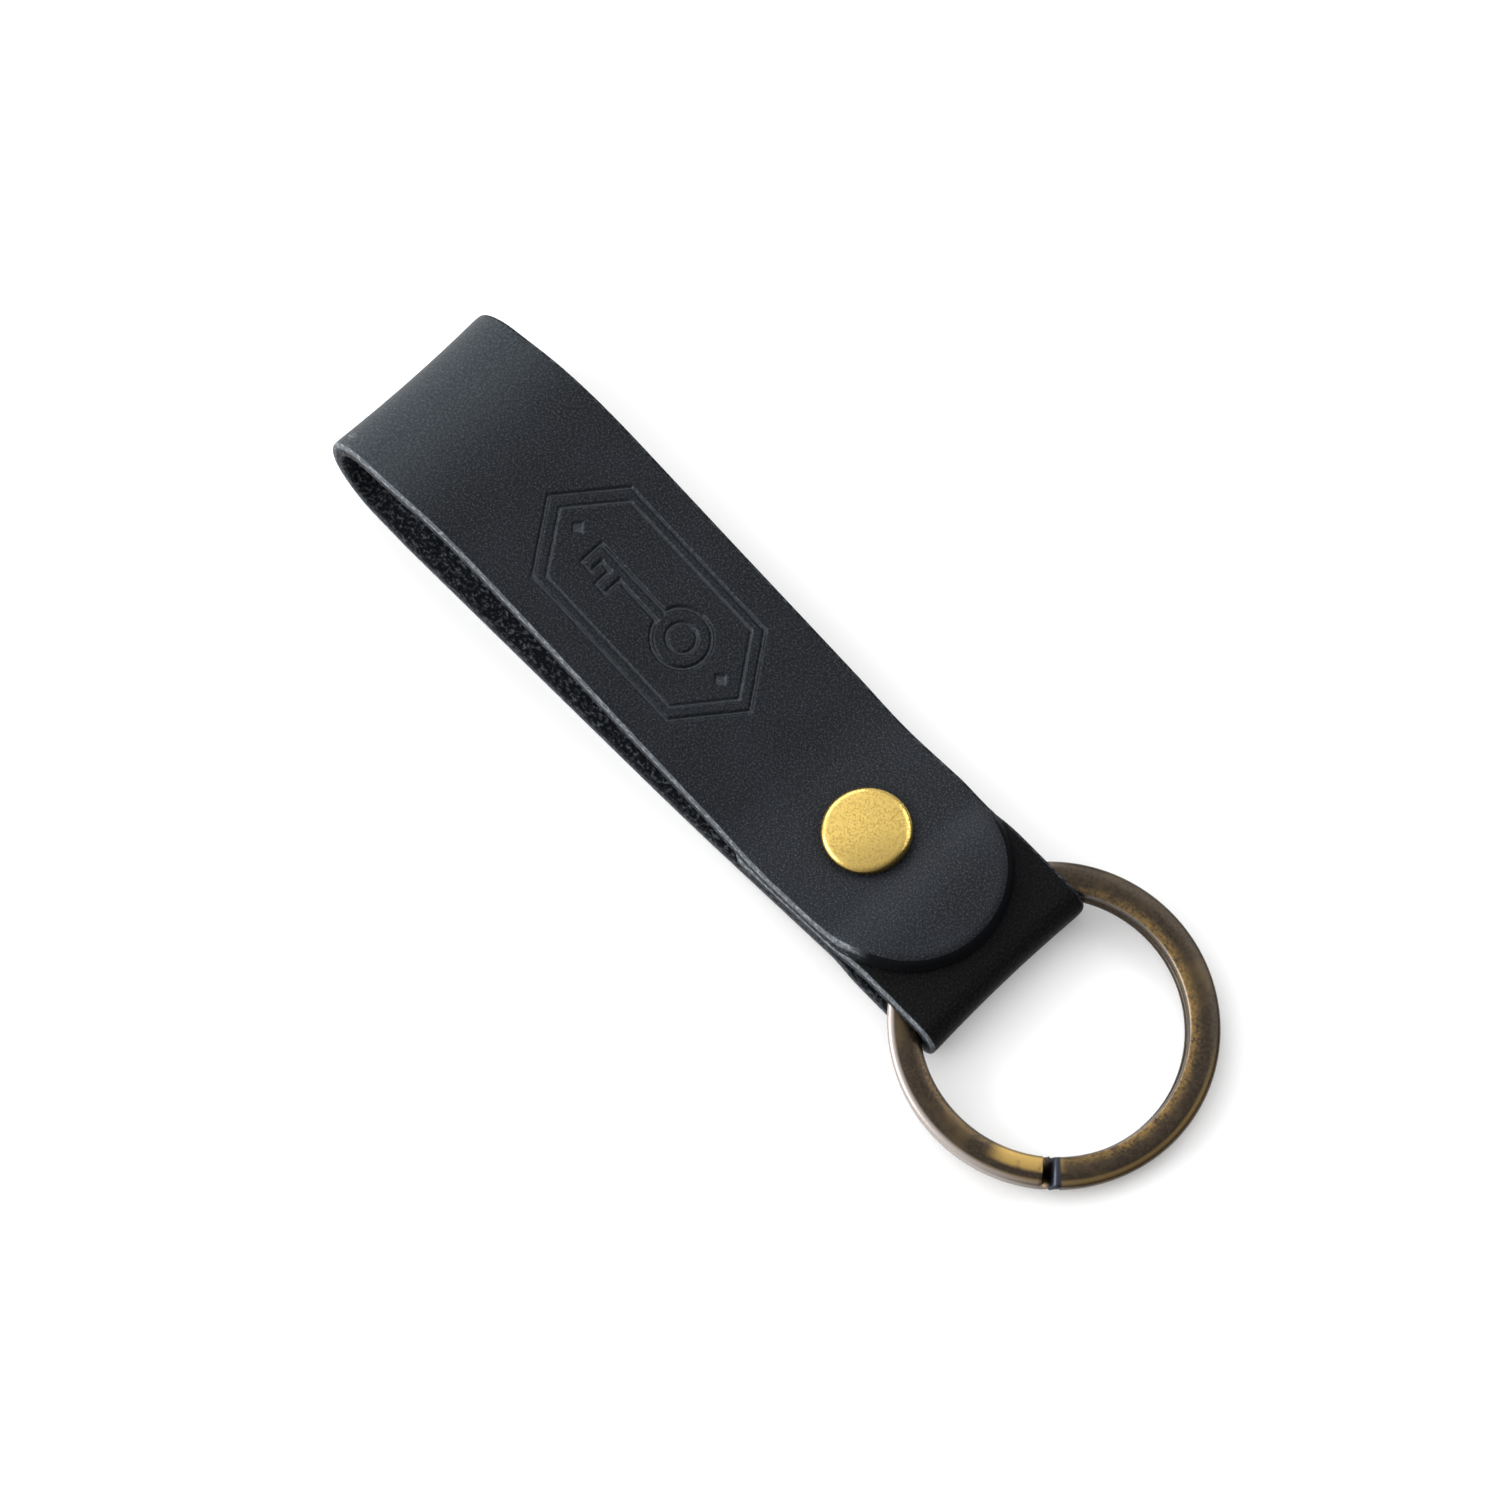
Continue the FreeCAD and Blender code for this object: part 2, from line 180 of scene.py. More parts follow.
def make_route(corners):
    """Straight runs joined by tangent arcs, as rows of start, x, z, heading and bend."""
    runs = []
    start = 0.0
    here = np.array(corners[0][0])
    for (before, _), (corner, radius), (after, _) in zip(corners, corners[1:], corners[2:]):
        corner = np.array(corner)
        run_in = corner - before
        run_out = np.array(after) - corner
        heading = math.atan2(run_in[1], run_in[0])
        turn = math.atan2(run_out[1], run_out[0]) - heading
        turn = (turn + math.pi) % (2 * math.pi) - math.pi
        cut = radius * math.tan(abs(turn) / 2)
        arc_start = corner - cut * run_in / np.hypot(*run_in)
        runs.append((start, *here, heading, 0.0))
        start += np.hypot(*(arc_start - here))
        runs.append((start, *arc_start, heading, math.copysign(1 / radius, turn)))
        start += radius * abs(turn)
        here = corner + cut * run_out / np.hypot(*run_out)
    runs.append((start, *here, heading + turn, 0.0))
    return np.array(runs), start + np.hypot(*(np.array(corners[-1][0]) - here))


ROUTE, STRIP_LENGTH = make_route(ROUTE_CORNERS)
RUN_STARTS = ROUTE[:, 0]


def follow_route(along):
    """X, Z and heading of the route at distances along it."""
    run = ROUTE[np.clip(np.searchsorted(RUN_STARTS, along, side="right") - 1, 0, None)]
    start, x, z, heading, bend = run.T
    ahead = along - start
    new_heading = heading + bend * ahead
    safe_bend = np.where(bend == 0, 1.0, bend)
    x_step = (np.sin(new_heading) - np.sin(heading)) / safe_bend
    z_step = (np.cos(heading) - np.cos(new_heading)) / safe_bend
    x = x + np.where(bend == 0, ahead * np.cos(heading), x_step)
    z = z + np.where(bend == 0, ahead * np.sin(heading), z_step)
    return x, z, new_heading


def along_at(point):
    """Distance along the route of the place on it nearest to a point."""
    along = np.linspace(0, STRIP_LENGTH, 40001)
    x, z, _ = follow_route(along)
    return along[np.argmin(np.hypot(x - point[0], z - point[1]))]


RIVET_ALONG = [along_at(stack_point(0, layer_middle(layer))) for layer in (2, 0, 1)]
FAR_FOLD_ALONG = along_at((FAR_X, 6.5))
BIGHT_ALONG = along_at(ring_point(-FOLD_REACH, 0))

# ---- the strip's flat mesh ----

CELL = 0.45
FINE = 4
ROW_TURN = 0.17
EDGE_INSET = 0.3
REACH = HALF_WIDTH - EDGE_INSET
FLESH_ROUND = 0.18
TIP_ZONE = 12.6
TAIL_ZONE = 3.0
TAIL_CORNER = 1.6
EVEN_COLUMNS = 16
SIDE_COLUMNS = 9
HOLE_CELLS = 4
HOLE_ZONE = 7
EMBLEM_ALONG = 47.2
EMBLEM_CELLS = 33


def row_places():
    """Distances of the strip's rows: about a cell apart, and closer where it bends tightly."""
    marks = {0.0, TIP_ZONE, STRIP_LENGTH - TAIL_ZONE, STRIP_LENGTH}
    marks |= set(RUN_STARTS[1:])
    kept_even = [(middle, HOLE_ZONE) for middle in RIVET_ALONG]
    kept_even.append((EMBLEM_ALONG, EMBLEM_CELLS))
    for middle, cells in kept_even:
        marks |= {middle - cells * CELL, middle + cells * CELL}
    marks = sorted(marks)
    rows = []
    for start, end in zip(marks, marks[1:]):
        bend = ROUTE[np.searchsorted(RUN_STARTS, (start + end) / 2) - 1, 4]
        step = CELL if bend == 0 else min(CELL, ROW_TURN / abs(bend))
        count = max(1, round((end - start) / step))
        rows.extend(np.linspace(start, end, count + 1)[:-1])
    return np.array(rows + [STRIP_LENGTH])


def column_places():
    """Distances across: even in the middle, then crowding towards the sides."""
    even = CELL * np.arange(-EVEN_COLUMNS, EVEN_COLUMNS + 1)
    first = math.asin(even[-1] / REACH)
    turns = np.linspace(first, math.pi / 2, SIDE_COLUMNS + 1)[1:]
    side = REACH * np.sin(turns)
    return np.concatenate([-side[::-1], even, side])


def end_setback(across, rounding):
    """How far an end's outline stands back at each column, for its rounded corners."""
    over = np.clip(np.abs(across) - (REACH - rounding), 0, rounding)
    return rounding - np.sqrt(rounding ** 2 - over ** 2)


def flat_lattice():
    """Flat along and across coordinates of the coarse lattice that both faces share."""
    rows, columns = row_places(), column_places()
    along = np.repeat(rows[:, None], len(columns), 1)
    across = np.repeat(columns[None, :], len(rows), 0)
    tip = EDGE_INSET + end_setback(columns, REACH)
    tail = EDGE_INSET + end_setback(columns, TAIL_CORNER)
    near_tip = np.clip(1 - along / TIP_ZONE, 0, 1)
    near_tail = np.clip(1 - (STRIP_LENGTH - along) / TAIL_ZONE, 0, 1)
    along = along + near_tip * tip - near_tail * tail
    for middle in RIVET_ALONG:
        along, across = round_out_hole(along, across, middle)
    return along, across


def round_out_hole(along, across, middle):
    """Pull the lattice round a rivet hole from squares into circles."""
    block, zone = HOLE_CELLS * CELL, HOLE_ZONE * CELL
    square = np.maximum(np.abs(along - middle), np.abs(across))
    distance = np.maximum(np.hypot(along - middle, across), 1e-6)
    outward = np.clip((square - block) / (zone - block), 0, 1)
    wanted = HOLE_RADIUS + outward * (zone - HOLE_RADIUS)
    scale = 1 + (1 - outward) * (wanted / distance - 1)
    scale = np.where(square < zone, scale, 1.0)
    return middle + (along - middle) * scale, across * scale


def cells_round(middles, cells_along, cells_across):
    """Which coarse cells lie within a block of cells round any of the middles."""
    rows, columns = row_places(), column_places()
    row_middles = (rows[1:] + rows[:-1]) / 2
    column_middles = (columns[1:] + columns[:-1]) / 2
    near_across = np.abs(column_middles) < cells_across * CELL
    within = np.zeros((len(row_middles), len(column_middles)), bool)
    for middle in middles:
        near_along = np.abs(row_middles - middle) < cells_along * CELL
        within |= near_along[:, None] & near_across[None, :]
    return within


class StripMesh:
    """The strip's vertices, in flat coordinates, and its faces with their materials."""

    GRAIN, EDGE, FLESH = 0, 1, 2

    def __init__(self):
        self.along, self.across = flat_lattice()
        self.rows, self.columns = (count - 1 for count in self.along.shape)
        self.points = []
        self.faces = []
        self.face_materials = []
        self.known = {}
        self.hole_cells = cells_round(RIVET_ALONG, HOLE_CELLS, HOLE_CELLS)
        self.fine_cells = cells_round([EMBLEM_ALONG], EMBLEM_CELLS, EVEN_COLUMNS)

    def add_point(self, along, across, height):
        self.points.append((along, across, height))
        return len(self.points) - 1

    def lattice_point(self, side, row, column):
        """The vertex at a fine place of the grain side (1) or flesh side (-1)."""
        key = (side, row, column)
        if key not in self.known:
            i, j = min(row // FINE, self.rows - 1), min(column // FINE, self.columns - 1)
            u, v = row / FINE - i, column / FINE - j
            weights = ((1 - u) * (1 - v), u * (1 - v), (1 - u) * v, u * v)
            corners = ((i, j), (i + 1, j), (i, j + 1), (i + 1, j + 1))
            along = sum(w * self.along[corner] for w, corner in zip(weights, corners))
            across = sum(w * self.across[corner] for w, corner in zip(weights, corners))
            self.known[key] = self.add_point(along, across, side * HALF_THICK)
        return self.known[key]

    def add_face(self, corners, material):
        self.faces.append(corners)
        self.face_materials.append(material)

    def cell_outline(self, side, i, j):
        """A coarse cell's corners, with the fine points where its neighbour is fine."""
        corners = [(i, j), (i + 1, j), (i + 1, j + 1), (i, j + 1)]
        neighbours = [(i, j - 1), (i + 1, j), (i, j + 1), (i - 1, j)]
        outline = []
        for (row, column), (next_row, next_column), neighbour in zip(
            corners, corners[1:] + corners[:1], neighbours
        ):
            inside = 0 <= neighbour[0] < self.rows and 0 <= neighbour[1] < self.columns
            fine = side > 0 and inside and self.fine_cells[neighbour]
            for step in range(FINE if fine else 1):
                fine_row = FINE * row + step * (next_row - row)
                fine_column = FINE * column + step * (next_column - column)
                outline.append(self.lattice_point(side, fine_row, fine_column))
        return outline

    def add_side(self, side, material):
        """One face of the strip: coarse cells, and fine ones under the emblem."""
        for i in range(self.rows):
            for j in range(self.columns):
                if self.hole_cells[i, j]:
                    continue
                if side > 0 and self.fine_cells[i, j]:
                    self.add_fine_cell(i, j, material)
                else:
                    outline = self.cell_outline(side, i, j)
                    self.add_face(outline if side < 0 else outline[::-1], material)

    def add_fine_cell(self, i, j, material):
        for row in range(FINE * i, FINE * (i + 1)):
            for column in range(FINE * j, FINE * (j + 1)):
                places = [(row, column), (row, column + 1), (row + 1, column + 1), (row + 1, column)]
                self.add_face([self.lattice_point(1, *place) for place in places], material)

    def outline_loop(self):
        """The lattice places round the strip's outline, in order."""
        rows, columns = self.rows, self.columns
        loop = [(i, 0) for i in range(rows)]
        loop += [(rows, j) for j in range(columns)]
        loop += [(i, columns) for i in range(rows, 0, -1)]
        loop += [(0, j) for j in range(columns, 0, -1)]
        return loop

    def add_outer_wall(self, section):
        """Sweep the cut edge's section round the outline."""
        loop = self.outline_loop()
        places = np.array([(self.along[place], self.across[place]) for place in loop])
        run = np.roll(places, -1, 0) - np.roll(places, 1, 0)
        outward = np.stack([-run[:, 1], run[:, 0]], 1) / np.hypot(*run.T)[:, None]
        outward *= np.sign(np.sum(outward * (places - [STRIP_LENGTH / 2, 0])))
        rings = [[self.lattice_point(1, FINE * i, FINE * j) for i, j in loop]]
        for out, height in section:
            moved = places + outward * out
            rings.append([self.add_point(*place, height) for place in moved])
        rings.append([self.lattice_point(-1, FINE * i, FINE * j) for i, j in loop])
        self.add_walls(rings)

    def add_hole_walls(self):
        """The walls of the three rivet holes."""
        centre_column = self.columns // 2
        reach = range(-HOLE_CELLS, HOLE_CELLS)
        loop = [(HOLE_CELLS, k) for k in reach] + [(-k, HOLE_CELLS) for k in reach]
        loop += [(-HOLE_CELLS, -k) for k in reach] + [(k, -HOLE_CELLS) for k in reach]
        for middle in RIVET_ALONG:
            centre_row = int(np.argmin(np.abs(row_places() - middle)))
            places = [(FINE * (centre_row + a), FINE * (centre_column + b)) for a, b in loop]
            self.add_walls([[self.lattice_point(side, *place) for place in places] for side in (1, -1)])

    def add_walls(self, rings):
        """Quads of cut edge between one closed ring of vertices and the next."""
        for ring, next_ring in zip(rings, rings[1:]):
            for k, (a, b) in enumerate(zip(ring, next_ring)):
                after = (k + 1) % len(ring)
                self.add_face([a, ring[after], next_ring[after], b], self.EDGE)


def cut_edge_section():
    """The cut edge's section: (out, height) from the grain side's rounding to the flesh's."""
    steps = np.radians([22, 45, 68, 90])
    section = []
    for a in steps:
        section.append((EDGE_INSET * math.sin(a), HALF_THICK - EDGE_INSET * (1 - math.cos(a))))
    # the wall between the two roundings is a little hollow
    section += [(EDGE_INSET - 0.04, 0.2), (EDGE_INSET - 0.03, -0.25)]
    for a in steps[::-1]:
        out = EDGE_INSET - FLESH_ROUND * (1 - math.sin(a))
        section.append((out, -HALF_THICK + FLESH_ROUND * (1 - math.cos(a))))
    section.append((EDGE_INSET - FLESH_ROUND, -HALF_THICK))
    return section


# ---- the blind-stamped emblem ----

# the hexagons' half length along the strap and half width
OUTER_HEXAGON = (14.3, 6.6)
INNER_HEXAGON = (12.7, 5.6)
HEXAGON_SLOPE = math.radians(36)
BOW_ALONG = -4.6
BOW_RADIUS = 3.0
LOZENGE_ALONG = 10.1
LOZENGE_REACH = 0.75
# the shaft and two teeth, each as its range along the strap and its range across
KEY_BARS = (
    ((-3.0, 7.4), (-0.6, 0.6)),
    ((3.6, 4.9), (-2.5, 0.0)),
    ((6.1, 7.4), (-2.0, 0.0)),
)
# width and depth of the pressed lines
FRAME_LINE = (0.38, 0.27)
INNER_LINE = (0.3, 0.2)
KEY_LINE = (0.44, 0.34)
LOZENGE_PIT = (0.0, 0.3)
LINE_SHOULDER = 0.14


def smooth_step(value):
    value = np.clip(value, 0, 1)
    return value * value * (3 - 2 * value)


def rise(value, start, full):
    """0 at start, 1 at full, smooth in between."""
    return smooth_step((value - start) / (full - start))


def groove(distance, width, depth):
    """A groove's depth at a distance from its middle line, with soft shoulders."""
    return depth * smooth_step((width / 2 - distance) / LINE_SHOULDER + 0.5)


def slab(along, across, along_range, across_range):
    """Signed distance to a rectangle."""
    (a0, a1), (b0, b1) = along_range, across_range
    over_along = np.abs(along - (a0 + a1) / 2) - (a1 - a0) / 2
    over_across = np.abs(across - (b0 + b1) / 2) - (b1 - b0) / 2
    outside = np.hypot(np.maximum(over_along, 0), np.maximum(over_across, 0))
    return outside + np.minimum(np.maximum(over_along, over_across), 0)


def long_hexagon(along, across, half_length, half_width):
    """Signed distance to a hexagon drawn out along the strap."""
    past_end = (np.abs(along) - half_length) * math.cos(HEXAGON_SLOPE)
    past_end = past_end + np.abs(across) * math.sin(HEXAGON_SLOPE)
    return np.maximum(np.abs(across) - half_width, past_end)


def key_shape(along, across):
    """Signed distance to a plain key: a round bow, a shaft and two teeth."""
    shape = np.hypot(along - BOW_ALONG, across) - BOW_RADIUS
    for bar in KEY_BARS:
        shape = np.minimum(shape, slab(along, across, *bar))
    return shape


def emblem_depth(along, across):
    """How deep the emblem is: a double hexagon with a key and two small lozenges."""
    along = along - EMBLEM_ALONG
    outer_frame = np.abs(long_hexagon(along, across, *OUTER_HEXAGON))
    inner_frame = np.abs(long_hexagon(along, across, *INNER_HEXAGON))
    key = np.abs(key_shape(along, across))
    bow_hole = np.abs(np.hypot(along - BOW_ALONG, across) - BOW_RADIUS / 2)
    lozenges = np.abs(np.abs(along) - LOZENGE_ALONG) + np.abs(across) - LOZENGE_REACH
    pressed = [
        groove(outer_frame, *FRAME_LINE),
        groove(inner_frame, *INNER_LINE),
        groove(key, *KEY_LINE),
        groove(bow_hole, *FRAME_LINE),
        groove(lozenges, *LOZENGE_PIT),
    ]
    return np.max(pressed, axis=0)


# ---- how the leather departs from a plain strip ----

# the grain side by the rivet: a dent, out from the cap, and a faint line round it
RIVET_DENT, DENT_REACH, DENT_END = 0.12, 0.7, 8.0
RIVET_LINE_RADIUS, RIVET_LINE = 7.7, (0.5, 0.05)

# the grain side rounded over, and the tongue's end sloped: how much, and how far in
TONGUE_DROOP, DROOP_REACH = 0.28, 0.55
SIDE_DROOP, SIDE_REACH = 0.07, 0.6
TONGUE_LEAN, LEAN_REACH = 0.5, 1.5

# the whole thickness: how much it leaves the route, and how far along the strip
FAR_HOLLOW, FAR_REACH = 0.3, 11.0
BIGHT_HOLLOW, BIGHT_REACH = 0.35, 4.5
WAVE_HEIGHT, WAVE_MIDDLE, WAVE_REACH = 0.07, 48.0, 27.0

# the width's share that the far fold loses, and the upper run's sideways shift
FAR_PINCH, PINCH_REACH = 0.03, 15.0
OFF_CENTRE = 0.34


def hump(distance, reach):
    """1 at distance 0, falling smoothly to 0 at the reach."""
    return np.clip(1 - (distance / reach) ** 2, 0, 1) ** 2


def fade(distance, reach):
    """1 at distance 0, fading away over about the reach."""
    return np.exp(-(distance / reach) ** 2)


def from_outline(along, across):
    """Distance in from the strip's outline, near the round tongue and along the sides."""
    round_end = HALF_WIDTH - np.hypot(HALF_WIDTH - along, across)
    return np.where(along < HALF_WIDTH, round_end, HALF_WIDTH - np.abs(across))


def grain_press(along, across):
    """How far the grain side is pressed in: the emblem, the rivet's dent, rounded sides."""
    from_rivet = np.hypot(along - RIVET_ALONG[0], across)
    from_cap = np.clip(from_rivet - CAP_RADIUS, 0, None)
    inward = from_outline(along, across)
    on_tongue = rise(along, 15, 7)
    depth = emblem_depth(along, across)
    depth = depth + groove(np.abs(from_rivet - RIVET_LINE_RADIUS), *RIVET_LINE)
    depth = depth + RIVET_DENT * fade(from_cap, DENT_REACH) * (from_rivet < DENT_END)
    depth = depth + TONGUE_DROOP * on_tongue * fade(inward, DROOP_REACH)
    return depth + SIDE_DROOP * fade(inward, SIDE_REACH)


def strip_lift(along, across):
    """How far the whole thickness leaves the route: hollowed folds and a faint unevenness."""
    hollow = 1 - (across / HALF_WIDTH) ** 2
    lift = -FAR_HOLLOW * hollow * hump(along - FAR_FOLD_ALONG, FAR_REACH)
    lift = lift - BIGHT_HOLLOW * hollow * hump(along - BIGHT_ALONG, BIGHT_REACH)
    wave = np.sin(along / 4.7 + 0.6) * np.sin(across / 5.3 + 0.9) + 0.6 * np.sin(along / 8.3)
    return lift + WAVE_HEIGHT * hump(along - WAVE_MIDDLE, WAVE_REACH) * wave


def lean_tongue(along, across, share):
    """Slope the tongue's end, so that its grain side is smaller than its flesh side."""
    inward = np.clip(from_outline(along, across), 0, None)
    on_tongue = rise(along, 14, 7)
    lean = TONGUE_LEAN * share * on_tongue * fade(inward, LEAN_REACH)
    distance = np.maximum(np.hypot(HALF_WIDTH - along, across), 1e-6)
    round_end = along < HALF_WIDTH
    along_step = np.where(round_end, (HALF_WIDTH - along) / distance, 0.0)
    across_step = np.where(round_end, across / distance, np.sign(across))
    return along + lean * along_step, across - lean * across_step


def sideways(along, across):
    """The strap's edges in plan: the upper run sits off centre and the far fold is pinched."""
    on_upper_run = rise(along, 18, 28) * rise(along, 74, 60)
    pinch = FAR_PINCH * hump(along - FAR_FOLD_ALONG, PINCH_REACH)
    return across * (1 - pinch) + OFF_CENTRE * on_upper_run


def fold_strip(flat):
    """Fold flat coordinates along the route."""
    along, across, height = flat.T
    share = (height + HALF_THICK) / THICKNESS
    height = height + strip_lift(along, across) - share * grain_press(along, across)
    along, across = lean_tongue(along, across, share)
    x, z, heading = follow_route(np.clip(along, 0, STRIP_LENGTH))
    beyond = along - np.clip(along, 0, STRIP_LENGTH)
    x = x + beyond * np.cos(heading) + height * np.sin(heading)
    z = z + beyond * np.sin(heading) - height * np.cos(heading)
    return np.stack([x, sideways(along, across), z], 1)


# ---- meshes ----

def add_mesh(name, points, faces, local, materials, face_materials=None):
    """A smooth mesh object from millimetres. Its materials read local, also millimetres."""
    mesh = bpy.data.meshes.new(name)
    mesh.from_pydata((points * MM).tolist(), [], faces)
    for material in materials:
        mesh.materials.append(material)
    if face_materials is not None:
        mesh.polygons.foreach_set("material_index", face_materials)
    attribute = mesh.attributes.new("local_mm", "FLOAT_VECTOR", "POINT")
    attribute.data.foreach_set("vector", np.asarray(local, np.float32).ravel())
    turned = bmesh.new()
    turned.from_mesh(mesh)
    bmesh.ops.recalc_face_normals(turned, faces=turned.faces)
    turned.to_mesh(mesh)
    turned.free()
    mesh.polygons.foreach_set("use_smooth", [True] * len(mesh.polygons))
    mesh.update()
    item = bpy.data.objects.new(name, mesh)
    bpy.context.scene.collection.objects.link(item)
    return item


def add_number(item, name, values):
    """Give every vertex a number that materials can read."""
    attribute = item.data.attributes.new(name, "FLOAT", "POINT")
    attribute.data.foreach_set("value", np.asarray(values, np.float32))


def tube_faces(rows, count, closed_ends):
    """Faces of a tube of equal rings of vertices, with a face at each end if asked."""
    faces = []
    for row in range(rows - 1):
        here, above = row * count, (row + 1) * count
        for j in range(count):
            after = (j + 1) % count
            faces.append([here + j, here + after, above + after, above + j])
    if closed_ends:
        faces.append(list(range(count)))
        faces.append(list(range((rows - 1) * count, rows * count)))
    return faces


def make_strap(materials):
    """The whole leather strip, folded."""
    strip = StripMesh()
    strip.add_side(1, strip.GRAIN)
    strip.add_side(-1, strip.FLESH)
    strip.add_outer_wall(cut_edge_section())
    strip.add_hole_walls()
    flat = np.array(strip.points)
    item = add_mesh("leather_strap", fold_strip(flat), strip.faces, flat, materials,
                    strip.face_materials)
    add_number(item, "stamped_mm", emblem_depth(flat[:, 0], flat[:, 1]))
    return item


# ---- split ring ----

WIRE_CROWN = 0.13
WIRE_CORNER = 0.5
LOWER_COIL_INSET = 0.18
END_CHAMFER = 0.12
END_SCALE = 0.9
COIL_STEPS = 220
RAMP_STEPS = 16


def wire_section():
    """The wire's section round its middle: a crowned top and foot and rounded corners."""
    half_height = COIL_HEIGHT / 2
    shoulder = half_height - WIRE_CROWN
    flat = WIRE_WIDTH / 2 - WIRE_CORNER
    quarter = []
    for x in np.linspace(0, flat, 5)[:-1]:
        quarter.append((x, half_height - WIRE_CROWN * (x / flat) ** 2))
    for a in np.radians(np.linspace(8, 90, 6)):
        quarter.append((flat + WIRE_CORNER * math.sin(a), shoulder - WIRE_CORNER * (1 - math.cos(a))))
    top = [(-x, y) for x, y in quarter[:0:-1]] + quarter
    foot = [(-x, -y) for x, y in top]
    return np.array(top + foot)


def wire_path():
    """Angles and heights of the wire's middle, from the top coil's end to the lower's."""
    level = (COIL_HEIGHT + COIL_GAP) / 2
    top_end = FREE_END_ANGLE + 360
    low_end = FREE_END_ANGLE - (360 - RAMP_ANGLE - END_GAP_ANGLE)
    top = np.linspace(top_end, SPLIT_ANGLE, COIL_STEPS)[:-1]
    ramp = np.linspace(SPLIT_ANGLE, FREE_END_ANGLE, RAMP_STEPS)
    low = np.linspace(FREE_END_ANGLE, low_end, COIL_STEPS)[1:]
    angles = np.concatenate([top, ramp, low])
    drop = rise(angles, SPLIT_ANGLE, FREE_END_ANGLE)
    return np.radians(angles), level * (1 - 2 * drop)


def chamfered(angles, heights):
    """The path with one more station near each end, and a scale that shrinks both ends."""
    step = END_CHAMFER / RING_RADIUS
    first, last = angles[0], angles[-1]
    angles = np.concatenate([[first, first - step], angles[1:-1], [last + step, last]])
    heights = np.concatenate([heights[:1], heights, heights[-1:]])
    scale = np.ones(len(angles))
    scale[[0, -1]] = END_SCALE
    return angles[:, None], heights[:, None], scale[:, None]


def make_ring(material):
    """The split ring: one flat wire wound twice, its ends chamfered."""
    section = wire_section()
    angles, heights, scale = chamfered(*wire_path())
    middle = RING_RADIUS - WIRE_WIDTH / 2 - LOWER_COIL_INSET * (heights < 0)
    radius = middle + section[:, 0] * scale
    up = heights + section[:, 1] * scale
    along = radius * np.cos(angles)
    across = radius * np.sin(angles)
    x, z = ring_point(along, up)
    points = np.stack([x, across, z], -1).reshape(-1, 3)
    local = np.stack([along, across, up], -1).reshape(-1, 3)
    faces = tube_faces(*up.shape, closed_ends=True)
    return add_mesh("split_ring_wire", points, faces, local, [material])


# ---- rivet caps ----

CAP_EDGE_HEIGHT = 0.98
CAP_RIM = 0.82
CAP_RIM_DROP = 0.64
CAP_FOOT_ROUND = 0.28
CAP_COLUMNS = 96


def cap_section():
    """Half section of a pressed cap, from the top's middle over the rim to its inside."""
    dome = CAP_HEIGHT - CAP_EDGE_HEIGHT
    flat = CAP_RADIUS - CAP_RIM
    section = []
    for r in np.linspace(0.0, flat, 12):
        section.append((r, CAP_EDGE_HEIGHT + dome * (1 - (r / flat) ** 2)))
    for a in np.radians(np.linspace(12, 90, 8)):
        height = CAP_EDGE_HEIGHT - CAP_RIM_DROP * (1 - math.cos(a))
        section.append((flat + CAP_RIM * math.sin(a), height))
    for a in np.radians(np.linspace(18, 90, 5)):
        inset = CAP_FOOT_ROUND * (1 - math.cos(a))
        section.append((CAP_RADIUS - inset, CAP_FOOT_ROUND * (1 - math.sin(a))))
    # the lip under the cap, then the inside of the sheet
    section += [(CAP_LIP, 0.0), (CAP_LIP, CAP_SHEET), (CAP_RADIUS - 0.5, CAP_SHEET)]
    section += [(CAP_RADIUS - CAP_SHEET, 0.42), (flat, CAP_EDGE_HEIGHT - CAP_SHEET)]
    section.append((0.0, CAP_HEIGHT - CAP_SHEET))
    return np.array(section)


def make_cap(name, material, top):
    """A rivet cap, turned about the rivet's axis and stood on its face of the stack."""
    radius, height = cap_section().T[:, :, None]
    up = STACK_HEIGHT + height if top else -height
    turns = np.radians(np.arange(CAP_COLUMNS) * 360 / CAP_COLUMNS)
    along = radius[1:-1] * np.cos(turns)
    across = radius[1:-1] * np.sin(turns)
    side_up = np.repeat(up[1:-1], CAP_COLUMNS, 1)
    side = np.stack([along, across, side_up], -1).reshape(-1, 3)
    outer_pole, inner_pole = len(side), len(side) + 1
    last_row = len(side) - CAP_COLUMNS
    local = np.concatenate([side, [(0, 0, up[0, 0]), (0, 0, up[-1, 0])]])
    faces = tube_faces(*side_up.shape, closed_ends=False)
    for j in range(CAP_COLUMNS):
        after = (j + 1) % CAP_COLUMNS
        faces.append([outer_pole, j, after])
        faces.append([inner_pole, last_row + after, last_row + j])
    x, z = stack_point(local[:, 0], local[:, 2])
    return add_mesh(name, np.stack([x, local[:, 1], z], 1), faces, local, [material])


# ---- how materials are written ----

